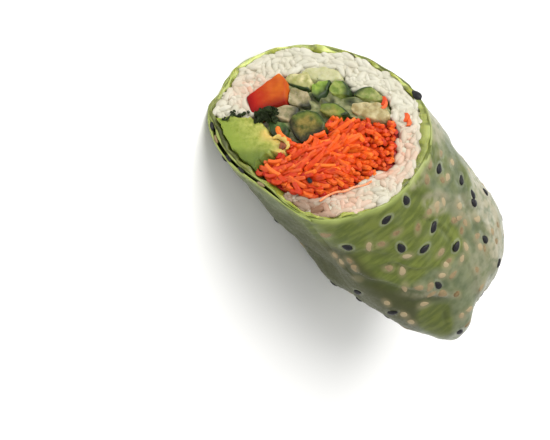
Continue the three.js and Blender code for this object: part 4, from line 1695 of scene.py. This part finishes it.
@dataclass
class Fillings:
    """The avocado, the red pepper and the cucumber.

    peel_reach and peel_edge say where the peel shows. lip and hollow are the curl at the avocado's torn
    corner and the dark piece under it that paints its shadow, each with its radius and how far it stands out
    of the cut. run is the way, across and up the face, in which the pepper goes from red to orange, and
    run_span where it does.
    """

    tones: tuple[CucumberTone, ...] = (
        CucumberTone((204, 196, 150), (150, 150, 86)),
        CucumberTone((170, 158, 126), (126, 120, 78)),
        CucumberTone((166, 152, 120), (104, 106, 62)),
        CucumberTone((100, 122, 62), (58, 84, 34)),
        CucumberTone((142, 124, 58), (66, 74, 18), (104, 122, 42), shadow=(16, 22, 8)),
        CucumberTone((152, 174, 76), (106, 134, 38)),
        CucumberTone((150, 160, 84), (100, 122, 40)),
        CucumberTone((148, 140, 70), (90, 98, 30), (112, 132, 46)),
        CucumberTone((166, 166, 108), (112, 128, 56)),
        CucumberTone((190, 178, 136), (150, 134, 86)),
    )
    pulp_tone: CucumberTone = CucumberTone((158, 158, 112), (108, 118, 68))
    slice_tone: CucumberTone = CucumberTone((190, 188, 150), (176, 176, 130))
    gaps: Pixels = (
        (288, 134), (292, 138), (297, 142), (303, 146), (309, 144), (315, 140), (321, 134), (262, 120),
        (268, 120), (275, 119), (287, 103), (292, 107), (300, 112), (311, 98), (325, 102), (331, 101),
        (328, 120), (350, 101), (345, 121),
    )
    gap_reach: float = 1.5
    gap_shade: float = 0.9
    deep_shade: float = 0.95
    green_reach: float = 2.6
    peel_reach: float = 0.9
    peel_edge: Pair = (0.2, 0.7)
    avocado: FoodFinish = FoodFinish(
        "avocado flesh", (184, 182, 98), (140, 148, 58), 1.1, relief=0.22, grain=0.8, dry=0.6, wet=0.4,
        soft=0.8, specular=0.3
    )
    avocado_tints: tuple[Tint, ...] = (
        Tint(Mask.GREEN, (132, 150, 54), (10, 0), 10.5), Tint(Mask.SKIN, (92, 110, 34), (9, 11), 5.0),
        Tint(Mask.WARM_AND_HIGHLIGHT, (206, 180, 100), (4, 7), 3.2),
    )
    lip: Pixels = ((276, 142), (281, 140.5), (286, 142), (290, 145.5), (291, 150), (289, 153))
    lip_radius: float = 0.85
    lip_out: float = 1.5
    lip_ends: Pair = (0.35, 0.2)
    # The hollow under the curl, where a dark tube paints the curl's shadow.
    hollow: Pixels = ((281.5, 147.5), (285, 148.5), (287, 150.5))
    hollow_radius: float = 1.15
    hollow_out: float = 0.7
    # The colour of the painted shadow under the curl.
    curl_shadow: FoodFinish = FoodFinish("avocado curl shadow", (150, 78, 36), (84, 36, 22), 0.7, dry=0.4, wet=0.25)
    pepper: FoodFinish = FoodFinish(
        "red pepper flesh", (196, 104, 26), (180, 80, 20), 2.5, relief=0.1, grain=0.8, dry=0.5, wet=0.35,
        soft=0.4, reach=(1.0, 0.4, 0.3), specular=0.15
    )
    pepper_red: Colour = (166, 12, 8)
    pepper_skin: Tint = Tint(Mask.SKIN, (128, 4, 8), (0, 3), 2.6, 0.9)
    run: Pair = (-0.75, 0.9)
    run_span: Pair = (-20.0, -8.5)

    def build(self) -> None:
        """Makes each filling and dresses it."""
        for stick, tone in zip(CUCUMBERS, self.tones):
            self.cucumber(stick, tone, f"{stick.name}_stick", stick.name)
        self.cucumber(PULP, self.pulp_tone, PULP.name)
        self.cucumber(SLICE, self.slice_tone, SLICE.name)
        self.build_avocado()
        self.build_pepper()

    def cucumber(self, stick: Stick, tone: CucumberTone, name: str, node: str = "") -> None:
        """Makes one piece of cucumber, in deep shade by its neighbours or, on the pulp, in the gaps."""
        shell = stick.shell()
        shade = self.deep_shade * stick.nearness(shell[0], stick.dark, stick.shadow)
        if stick is PULP:
            shade = self.gap_shade * near_pixels(face_spots(shell[0]), self.gaps, self.gap_reach)
        peel = smoothstep(stick.nearness(shell[0], stick.skin, self.peel_reach), *self.peel_edge)
        green = stick.nearness(shell[0], stick.skin, self.green_reach)
        make_piece(name, shell, tone.finish(name), node,
                   {Mask.GREEN: green, Mask.SHADE: shade, Mask.SKIN: peel})

    def build_avocado(self) -> None:
        """Creamy flesh, yellow by the other fillings, green by the wrapper, with painted shadow under the
        curl at its torn corner.
        """
        finish = self.avocado.shaded({tint.mask: tint.colour for tint in self.avocado_tints})
        shell = AVOCADO.shell()
        make_piece("avocado_wedge", shell, finish, "avocado",
                   {tint.mask: tint.on(AVOCADO, shell) for tint in self.avocado_tints})
        path = FORM.on_face(*open_curve(VIEW.face_point(self.lip), 5).T, -self.lip_out)
        taper = np.sin(np.linspace(self.lip_ends[0], np.pi - self.lip_ends[1], len(path)))
        make_piece("avocado_curl", tube(path, self.lip_radius * taper, 10), finish,
                   masks={Mask.GREEN: 0.0, Mask.SKIN: 0.0, Mask.WARM_AND_HIGHLIGHT: 1.0})
        # A dark tube in the hollow under the curl: painted shadow.
        path = FORM.on_face(*open_curve(VIEW.face_point(self.hollow), 4).T, -self.hollow_out)
        hollow = tube(path, np.full(len(path), self.hollow_radius), 10)
        make_piece("avocado_curl_shadow", hollow, self.curl_shadow.plain())

    def build_pepper(self) -> None:
        """Glossy flesh, orange on its lit side and deep red where the skin is."""
        shell, skin = RED_PEPPER.shell(), self.pepper_skin
        run = shell[0] @ FORM.face_axes[1] * self.run[1] + shell[0][:, 0] * self.run[0]
        finish = self.pepper.shaded({Mask.GREEN: self.pepper_red, skin.mask: skin.colour})
        masks = {Mask.GREEN: 1.0 - smoothstep(run, *self.run_span), skin.mask: skin.on(RED_PEPPER, shell)}
        make_piece("red_pepper_piece", shell, finish, "red_pepper", masks)


@dataclass(frozen=True)
class Shred:
    """One shred of carrot: a small square stick with soft edges, a slight bow and worn ends.

    ends lists its rings from the middle to one tip, as a share of the length and of the width.
    """

    corner: float = 11.0
    power: float = 6.0
    bow: float = 0.45
    ends: Pairs = ((0.24, 1.0), (0.46, 0.92), (0.5, 0.66), (0.5, 0.0))

    def shell(self) -> Shell:
        """A stick along x of length 1 and width 1.

        Its section is a superellipse with two points at each corner. It thins at both ends and bows sideways
        by bow * (1 - 4t^2).

        Returns:
            The vertices and the faces.
        """
        corners = np.arange(45.0, FULL_TURN, 90.0)[:, None] + np.array([-self.corner, self.corner])
        turn = np.radians(corners.ravel())
        sides = np.abs(np.cos(turn)) ** self.power + np.abs(np.sin(turn)) ** self.power
        edge = sides ** (-1 / self.power) / 2
        tip, width = np.array(self.ends).T
        t = np.concatenate([-tip[::-1], [0.0], tip])[:, None]
        swell = np.concatenate([width[::-1], [1.0], width])[:, None]
        y = swell * edge * np.cos(turn) + self.bow * (1.0 - 4.0 * t**2)
        return closed_shell(grid_of(t, y, swell * edge * np.sin(turn)))


@dataclass(frozen=True)
class Lie:
    """How shreds lie near a place in the picture: their heading there and how steeply they leave the face."""

    x: float
    y: float
    heading: float
    pitch: float


@dataclass(frozen=True)
class Stray:
    """A short loose shred: its place and heading in the picture, pitch, depth behind the cut and length."""

    x: float
    y: float
    heading: float
    pitch: float = 6.0
    depth: float = -0.15
    length: float = 2.6


FAINT = 1e-6


def near_pixels(points: Array, pixels: Pixels, reach: float) -> Array:
    """How near places on the face are to the nearest of some picture places: exp(-(d / reach)^2)."""
    return fade(closest(points, VIEW.face_point(pixels))[0], reach)


def scattered(layers: Pairs, keeps: Callable[[Array], Array], grid: Array, jitter: float,
              rng: np.random.Generator) -> tuple[Array, Array]:
    """Places on a jittered square grid over an area, in layers.

    Args:
        layers: each layer's depth and the share of its places that is used.
        keeps: says which places lie in the area.
        grid: the grid's lines, the same both ways.
        jitter: how far a place may move each way, as a share of the grid's step.
        rng: the random source.

    Returns:
        Places across and up the face, and their depths.
    """
    across, up = (axis.ravel() for axis in np.meshgrid(grid, grid))
    spots, depths = [], []
    for depth, share in layers:
        moved = rng.uniform(-jitter, jitter, (len(up), 2)) * (grid[1] - grid[0])
        spot = np.column_stack([across, up]) + moved
        keep = keeps(spot) & (rng.random(len(up)) < share)
        spots.append(spot[keep])
        depths.append(np.full(keep.sum(), depth))
    return np.concatenate(spots), np.concatenate(depths)


def headings_near(spots: Array, lies: tuple[Lie, ...], reach: float) -> tuple[Array, Array]:
    """Headings and pitches blended between named places.

    The blend weighs each place by exp(-(d / reach)^2) and averages cosine and sine of twice the heading, so
    opposite headings count as one.

    Args:
        spots: places across and up the face.
        lies: the named places.
        reach: how far each place counts, in millimetres.

    Returns:
        Headings in the picture and pitches, in degrees.
    """
    places = VIEW.face_point(np.array([(lie.x, lie.y) for lie in lies]))
    weight = fade(np.linalg.norm(spots[:, None] - places[None], axis=-1), reach) + FAINT
    weight /= weight.sum(axis=1, keepdims=True)
    double = np.radians([2.0 * lie.heading for lie in lies])
    heading = np.degrees(np.arctan2(weight @ np.sin(double), weight @ np.cos(double))) / 2.0
    return heading, weight @ np.array([lie.pitch for lie in lies])


@dataclass
class CarrotBundle:
    """Shredded carrot: a core coloured as deep shadow, with separate shreds over its cut end.

    Each of the layers is a depth and a share of the places. Shreds turn and tilt off the named lies by turned
    and tilted, and border is how far out their tips may come, as a share of the outline's reach. low_run is
    where the painted shade of the lower side starts and is full, and low_lean its slant. The shreds carry
    painted shade and a random painted highlight, each with its own colour.
    """

    width: float = 1.2
    spacing: float = 1.2
    layers: Pairs = ((1.0, 0.7), (0.2, 0.6), (-0.6, 0.36))
    lengths: Pair = (5.0, 10.0)
    lies: tuple[Lie, ...] = (
        Lie(270, 172, -20, 8), Lie(290, 190, -35, 12), Lie(286, 158, 50, 12), Lie(310, 160, 35, 10),
        Lie(335, 150, 20, 8), Lie(320, 185, -30, 16), Lie(345, 165, -40, 25), Lie(350, 135, 35, 25),
        Lie(372, 150, -65, 40), Lie(390, 135, -60, 50), Lie(368, 172, -50, 40), Lie(395, 155, -75, 45),
    )
    strays: tuple[Stray, ...] = (
        Stray(406, 118, 75), Stray(407.5, 122, 100), Stray(383, 101, 80), Stray(384, 105, 60),
        Stray(284.5, 137, -62, 16, -1.5, 4.2), Stray(288, 140, -48, 12, -1.5, 5.0),
        Stray(292, 144, -40, 12, -1.3, 5.0), Stray(296, 146, -30, 12, -1.1, 5.0),
        Stray(289, 145, -44, 12, -0.9, 4.5),
    )
    film: Pixels = ((322, 204), (329, 199), (338, 195), (347, 194), (356, 190), (366, 188), (374, 184))
    film_radius: float = 0.3
    film_out: float = 1.1
    # Painted shade towards the lower side of the cut.
    low_shade: float = 0.5
    low_lean: float = 0.6
    low_run: Pair = (0.0, 16.0)
    half_grid: float = 28.0
    jitter: float = 0.8
    inner_margin: float = 1.01
    lie_reach: float = 6.0
    turned: float = 20.0
    tilted: float = 14.0
    pitches: Pair = (2.0, 80.0)
    border: float = 1.02
    shortest: float = 2.2
    rolled: float = 0.5
    widths: Pair = (0.8, 1.12)
    uneven: float = 0.25
    sunk: float = 0.25
    # The core is painted the colour of the deep shadow seen between the shreds.
    deep: FoodFinish = FoodFinish("carrot shadow", (176, 34, 22), (140, 16, 26), 1.5, dry=0.5, wet=0.35)
    flesh: FoodFinish = FoodFinish(
        "carrot", (230, 90, 16), (210, 66, 12), 1.6, relief=0.05, grain=0.5, dry=0.5, wet=0.3, coat=0.05,
        specular=0.3
    )
    thin: FoodFinish = FoodFinish(
        "carrot film", (232, 170, 132), (224, 140, 92), 2.0, dry=0.35, wet=0.2, soft=0.5
    )
    # The colours of the shreds' painted shade and painted highlight.
    dark: Colour = (168, 22, 18)
    painted_light: Colour = (250, 136, 44)
    # How painted shade grows with depth behind the cut, and how strong the random painted highlight is.
    shade_top: float = 0.7
    shade_span: float = 1.7
    shade_range: Pair = (0.3, 1.0)
    brightness: Pair = (0.1, 0.3)
    most_shade: float = 0.9
    seed: int = 12

    def build(self) -> None:
        """Makes the core, the shreds and the thin film below them."""
        make_piece("carrot_core", CARROT_CORE.shell(), self.deep.plain(), "carrot")
        places, turns, shades = self.scatter()
        shape = Shred().shell()
        # Each shred's painted shade and painted highlight, on all its vertices.
        dark, painted_light = np.repeat(shades, len(shape[0]), axis=0).T
        make_piece("carrot_shreds", copies(shape, turns, places),
                   self.flesh.shaded({Mask.SHADE: self.dark, Mask.WARM_AND_HIGHLIGHT: self.painted_light}),
                   masks={Mask.SHADE: dark, Mask.WARM_AND_HIGHLIGHT: painted_light}, smooth=False)
        path = FORM.on_face(*open_curve(VIEW.face_point(self.film), 6).T, -self.film_out)
        film = tube(path, np.full(len(path), self.film_radius))
        make_piece("carrot_film", film, self.thin.plain())

    def scatter(self) -> tuple[Array, Array, Array]:
        """Places, axes, and painted shade and highlight of the shreds.

        Middles lie on a jittered grid inside the outline, in layers. Shreds follow the named lies with a
        spread, are shortened where they would leave the outline, and their size, painted shade and painted
        highlight vary.

        Returns:
            Middles, 3 by 3 axes times size, and for each shred its painted shade and painted highlight.
        """
        rng, outline = np.random.default_rng(self.seed), CARROT_CORE.line
        middle, loose = outline.mean(axis=0), len(self.strays)
        x, y, turned, tilted, depths, lengths = np.array([astuple(stray) for stray in self.strays]).T
        spot, depth = scattered(
            self.layers, lambda spots: inside(middle + (spots - middle) * self.inner_margin, outline),
            np.arange(-self.half_grid, self.half_grid, self.spacing), self.jitter, rng)
        spot = np.concatenate([spot, VIEW.face_point(np.column_stack([x, y]))])
        depth = np.concatenate([depth, depths])
        count = len(spot)
        heading, pitch = headings_near(spot, self.lies, self.lie_reach)
        heading = heading + rng.normal(0.0, self.turned, count)
        pitch = np.radians(np.clip(pitch + rng.normal(0.0, self.tilted, count), *self.pitches))
        heading[-loose:], pitch[-loose:] = turned, np.radians(tilted)
        length = rng.uniform(*self.lengths, count)
        tip = np.linalg.norm(spot - middle, axis=1) + 0.5 * length * np.cos(pitch)
        border = self.border * np.linalg.norm(outline[closest(spot, outline)[1]] - middle, axis=1)
        length = np.where(tip > border, np.maximum(length - 2.0 * (tip - border), self.shortest), length)
        length[-loose:] = lengths
        out = np.broadcast_to(FORM.face_axes[2], (count, 3))
        flat = VIEW.along_surface(heading, out)
        along = unit(flat * np.cos(pitch)[:, None] + out * np.sin(pitch)[:, None])
        side = unit(np.cross(along, out + rng.normal(0.0, self.rolled, (count, 3))))
        sizes = np.stack([length, *(self.width * rng.uniform(*self.widths, (2, count)))], axis=1)
        places = FORM.on_face(*spot.T, depth + rng.normal(0.0, self.uneven, count))
        places = places - along * (self.sunk * length * np.sin(pitch))[:, None]
        # Painted shade, deeper for shreds further behind the cut and towards the lower side, and a random
        # painted highlight.
        low = self.low_shade * smoothstep(spot[:, 0] - self.low_lean * spot[:, 1], *self.low_run)
        dark = (depth + self.shade_top) / self.shade_span * rng.uniform(*self.shade_range, count) + low
        shades = np.column_stack([dark, rng.normal(*self.brightness, count)])
        axes = np.stack([along, side, np.cross(along, side)], axis=1)
        return places, axes * sizes[:, :, None], np.clip(shades, 0.0, self.most_shade)


@dataclass(frozen=True)
class Grain:
    """One cooked grain of rice: a plump bent oval with blunt ends."""

    rings: int = 7
    sides: int = 8
    bend: float = 0.1
    blunt: float = 2.8

    def shell(self) -> Shell:
        """An oval along x, half width (1 - |2t|^blunt)^0.5, bent by bend * (1 - 4t^2)."""
        t = np.sin(np.linspace(-np.pi / 2, np.pi / 2, self.rings + 2))[:, None] / 2
        swell = np.maximum(1.0 - (2.0 * np.abs(t)) ** self.blunt, 0.0) ** 0.5 / 2
        z = swell * np.sin(circle(self.sides)) + self.bend * (1.0 - 4.0 * t**2)
        return closed_shell(grid_of(t, swell * np.cos(circle(self.sides)), z))


@dataclass
class Rice:
    """Sushi rice: a core with relief, and separate grains all over its cut face.

    Each of the layers is a depth and a share of the places. narrowest, clear and leaf_clear are the gaps that
    rice needs: at all, round its grains and by the leaf. The three kinds of spots are places in the picture
    where grains are tinted or clear, or give way to the herb. glow is how deep they lie where they are
    brightest and where that ends: painted light that fills the hollows between the grains.
    """

    inset: float = 1.55
    core_back: float = 0.3
    hollow: float = 3.0
    narrowest: float = 1.8
    clear: float = 0.35
    leaf_clear: float = 0.25
    columns: int = 200
    face_rows: int = 26
    stations: Floats = (0.1, 0.4, 0.8, 1.0, 1.3, 1.6, 1.85)
    spacing: float = 1.65
    layers: Pairs = ((0.95, 1.0), (0.75, 0.95), (0.5, 0.4))
    lengths: Pair = (3.6, 5.0)
    widths: Pair = (1.75, 2.15)
    warm_spots: Pixels = (
        (396, 140), (398, 158), (388, 172), (350, 198), (326, 208), (262, 92), (250, 90),
    )
    clear_spots: Pixels = ((276, 193), (286, 198), (298, 203), (308, 208), (270, 188), (316, 210))
    herb_spots: Pixels = (
        (262, 117), (267, 116), (272, 116), (276, 114), (261, 123), (265, 123), (270, 121),
    )
    herb_clear: float = 1.5
    # Painted light: grain surfaces that lie deeper behind the face are painted brighter.
    glow: Pair = (0.3, 1.7)
    above_floor: float = 0.6
    warm_reach: float = 4.5
    warm_range: Pair = (0.3, 1.0)
    most_warm: float = 0.95
    clear_reach: float = 3.6
    clear_range: Pair = (0.7, 1.0)
    greyness: Pair = (0.1, 0.25)
    most_grey: float = 0.6
    free_edge: float = 0.4
    rough: Ripple = Ripple(2.4, 3, 0.25)
    half_grid: float = 34.0
    jitter: float = 0.5
    follows: float = 2.2
    astray: float = 0.25
    pitches: Floats = (4.0, 22.0, 60.0)
    pitch_shares: Floats = (0.42, 0.3, 0.28)
    flatness: Pair = (0.88, 1.0)
    uneven: float = 0.15
    sunk: float = 0.3
    boiled: FoodFinish = FoodFinish(
        "boiled rice", (204, 201, 184), (195, 190, 170), 3.0, relief=0.04, grain=0.8, dry=0.5, wet=0.34,
        coat=0.05, specular=0.35
    )
    paste: FoodFinish = FoodFinish(
        "rice core", (206, 202, 182), (196, 190, 168), 2.0, relief=0.15, grain=1.8, dry=0.5, wet=0.35,
        specular=0.3
    )
    # The colour of the painted light in the hollows.
    painted_light: Colour = (236, 232, 216)
    warm: Colour = (208, 150, 122)
    grey: Colour = (188, 186, 164)
    glassy: Colour = (124, 86, 60)
    seed: int = 3

    def build(self) -> None:
        """Makes the core and the grains."""
        make_piece("rice_core", self.core(), self.paste.plain(), "rice")
        places, turns, spots = self.scatter()
        shape = Grain().shell()
        shell = copies(shape, turns, places)
        shell[0][:, 2] = np.maximum(shell[0][:, 2], self.above_floor - FORM.rest_depth)
        rng, count, each = np.random.default_rng(self.seed + 1), len(places), len(shape[0])
        warm = near_pixels(spots, self.warm_spots, self.warm_reach) * rng.uniform(*self.warm_range, count)
        clear = near_pixels(spots, self.clear_spots, self.clear_reach) * rng.uniform(*self.clear_range, count)
        grey = np.clip(rng.normal(*self.greyness, count), 0.0, self.most_grey)
        # Painted light on the deeper parts of the grains; the other masks are tints, clear grains and a
        # random grey.
        masks = {Mask.HALO: smoothstep(-(shell[0] @ FORM.face_axes[2]), *self.glow),
                 Mask.WARM_AND_HIGHLIGHT: np.repeat(warm * self.most_warm, each), Mask.SHADE: np.repeat(grey, each),
                 Mask.VEIL_AND_HIGHLIGHT: np.repeat(clear, each)}
        colours = dict(zip(masks, (self.painted_light, self.warm, self.grey, self.glassy)))
        make_piece("rice_grains", shell, self.boiled.shaded(colours), masks=masks)

    @staticmethod
    def outlines() -> list[Array]:
        """The leaf's inner edge and the outlines of the fillings."""
        leaf = GreenLeaf()
        outer_sticks = (stick for stick in CUCUMBERS if stick.name in ("cucumber_9", "cucumber_7"))
        sticks = (AVOCADO, RED_PEPPER, PULP, SLICE, CARROT_CORE, *outer_sticks)
        return [FORM.rim(leaf.outer + leaf.band_at(RIM_ANGLES)), *(stick.line for stick in sticks)]

    def room(self, spots: Array, outlines: list[Array]) -> Array:
        """How much room the rice has at each place.

        It is the way to the nearest outline or, if that is less, half of what the ways to the two nearest
        sum to beyond the narrowest gap. Inside a filling it is below zero.

        Args:
            spots: places across and up the face.
            outlines: the leaf's inner edge first, then the fillings.

        Returns:
            The room, in millimetres.
        """
        to_leaf = depth_inside(spots, outlines[0]) - self.leaf_clear
        to_herb = closest(spots, VIEW.face_point(self.herb_spots))[0] - self.herb_clear
        ways = np.sort([to_leaf, to_herb, *(-depth_inside(spots, line) for line in outlines[1:])], axis=0)
        return np.minimum(ways[0], (ways[0] + ways[1] - self.narrowest) / 2.0)

    def core(self) -> Shell:
        """A plug that fills the wrapper from just behind the cut face to the folded end."""
        angle = np.linspace(0.0, FULL_TURN, self.columns, endpoint=False)
        shares = np.linspace(0.0, 1.0, self.face_rows)[:, None, None]
        face = FORM.surface(angle, 0.0, self.inset)[None] * shares
        room = self.room(face_spots(face.reshape(-1, 3)), self.outlines()).reshape(face.shape[:2])
        back = self.core_back + self.hollow * (1.0 - smoothstep(room, -self.free_edge, self.free_edge))
        face[..., 1] = face[..., 2] * FORM.slope + (back - self.rough.at(face))
        outside = FORM.surface(angle[None], np.array(self.stations)[:, None], self.inset)
        end = np.broadcast_to([0.0, FORM.half_length - self.inset, -FORM.drop], outside[:1].shape)
        return closed_shell(np.concatenate([face, outside, end]))

    def scatter(self) -> tuple[Array, Array, Array]:
        """Places, axes and face places of the grains.

        Middles lie on a jittered grid over the rice, clear of the fillings, in layers. A grain close to an
        outline lies along it, and any other has a random heading. Some stand more on end.

        Returns:
            Middles, 3 by 3 axes times size, and the middles across and up the face.
        """
        rng, outlines = np.random.default_rng(self.seed), self.outlines()
        tangents = np.concatenate([np.roll(line, -1, axis=0) - np.roll(line, 1, axis=0) for line in outlines])
        spot, depth = scattered(self.layers, lambda spots: self.room(spots, outlines) > self.clear,
                                np.arange(-self.half_grid, self.half_grid, self.spacing), self.jitter, rng)
        count = len(spot)
        room, nearest = closest(spot, np.concatenate(outlines))
        heading = rng.uniform(0.0, 2.0 * np.pi, count)
        follow = np.arctan2(tangents[nearest, 1], tangents[nearest, 0]) + rng.normal(0.0, self.astray, count)
        heading = np.where(room < self.follows, follow, heading)
        pitch = np.radians(rng.choice(self.pitches, count, p=self.pitch_shares))
        flat = np.column_stack([np.cos(heading), np.sin(heading)]) @ FORM.face_axes[:2]
        along = unit(flat * np.cos(pitch)[:, None] - np.array([0.0, 1.0, 0.0]) * np.sin(pitch)[:, None])
        side = unit(np.cross(along, rng.normal(size=(count, 3))))
        width, length = rng.uniform(*self.widths, count), rng.uniform(*self.lengths, count)
        sizes = np.stack([length, width, width * rng.uniform(*self.flatness, count)], axis=1)
        places = FORM.on_face(*spot.T, depth + rng.normal(0.0, self.uneven, count))
        places = places - along * (self.sunk * sizes[:, 0] * np.sin(pitch))[:, None]
        return places, np.stack([along, side, np.cross(along, side)], axis=1) * sizes[:, :, None], spot


@dataclass
class Herb:
    """Dark herb sprigs between the pepper, the avocado and the cucumber.

    sizes and numbers are the length and the count of leaves at each place of the clump, the thread and the
    sprig. curl is how a leaf's sides, its frill and its middle rise, and frill how its frill waves.
    """

    clump: Pixels = (
        (262, 114), (266, 115), (270, 112), (273, 117), (268, 120), (271, 122), (265, 118), (276, 112),
        (275, 121), (270, 117), (278, 116), (260, 118), (262, 120), (264, 121),
    )
    thread: Pixels = (
        (225, 121), (228, 122), (232, 118.5), (235, 115), (236.5, 118), (240, 117.5), (244, 116),
        (248, 115.5),
    )
    sprig: Pixels = ((258, 122), (260, 125), (262, 124), (257, 125))
    sizes: Floats = (2.6, 1.3, 1.4)
    numbers: tuple[int, ...] = (3, 2, 2)
    spread: float = 0.35
    scale: Pair = (0.7, 1.1)
    tilted: float = 0.45
    depths: Pair = (-1.1, -0.5)
    stem_out: float = 0.85
    stem_radius: float = 0.32
    stem_uneven: float = 0.1
    rows: int = 6
    ends: Pair = (0.02, 0.98)
    half_width: float = 0.32
    curl: Triple = (0.16, 0.07, 0.12)
    frill: Pair = (11.0, 2.0)
    arch: float = 3.0
    thickness: float = 0.06
    leaf: FoodFinish = FoodFinish(
        "herb", (26, 32, 10), (42, 56, 20), 1.2, relief=0.1, grain=0.4, dry=0.6, wet=0.4, specular=0.2
    )
    seed: int = 30

    def build(self) -> None:
        """Makes all the small leaves and the thread as one piece."""
        rng, groups = np.random.default_rng(self.seed), (self.clump, self.thread, self.sprig)
        spots = np.concatenate([VIEW.face_point(group).repeat(number, axis=0)
                                for group, number in zip(groups, self.numbers)])
        sizes = np.repeat(self.sizes, [len(group) * number for group, number in zip(groups, self.numbers)])
        spots = spots + rng.normal(0.0, self.spread, spots.shape)
        sizes = sizes * rng.uniform(*self.scale, len(sizes))
        normal = unit(FORM.face_axes[2] + rng.normal(0.0, self.tilted, (len(spots), 3)))
        axes = lying(unit(np.cross(normal, rng.normal(size=normal.shape))), normal) * sizes[:, None, None]
        places = FORM.on_face(*spots.T, rng.uniform(*self.depths, len(spots)))
        path = FORM.on_face(*open_curve(VIEW.face_point(self.thread), 5).T, -self.stem_out)
        stem = tube(path, self.stem_radius + self.stem_uneven * np.sin(np.arange(len(path))))
        make_piece("herb_sprigs", together(copies(self.leaflet(), axes, places), stem), self.leaf.plain())

    def leaflet(self) -> Shell:
        """A curled blade of length 1: half width half_width * sin(pi t), with frilled sides."""
        t, s = np.linspace(*self.ends, self.rows)[:, None], np.linspace(-1.0, 1.0, self.rows + 1)
        (sides, frill, middle), (waves, phase) = self.curl, self.frill
        z = sides * s**2 + frill * np.sin(waves * t + phase) * np.abs(s) + middle * np.sin(self.arch * t)
        over = grid_of(t - 0.5, self.half_width * np.sin(np.pi * t) * s, z)
        return thick_sheet(over, over - np.array([0.0, 0.0, self.thickness]))


def main() -> None:
    """Builds the pieces in order and reports each one."""
    logging.basicConfig(level=logging.INFO, format="%(message)s")
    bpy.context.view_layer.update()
    skin = OuterSkin()
    sesame = Sesame(skin)
    Studio().build()
    lift = RicePaper(skin, sesame).build()
    GreenLeaf().build()
    Rice().build()
    Fillings().build()
    CarrotBundle().build()
    Herb().build()
    sesame.build(lift)


if __name__ == "__main__":
    main()
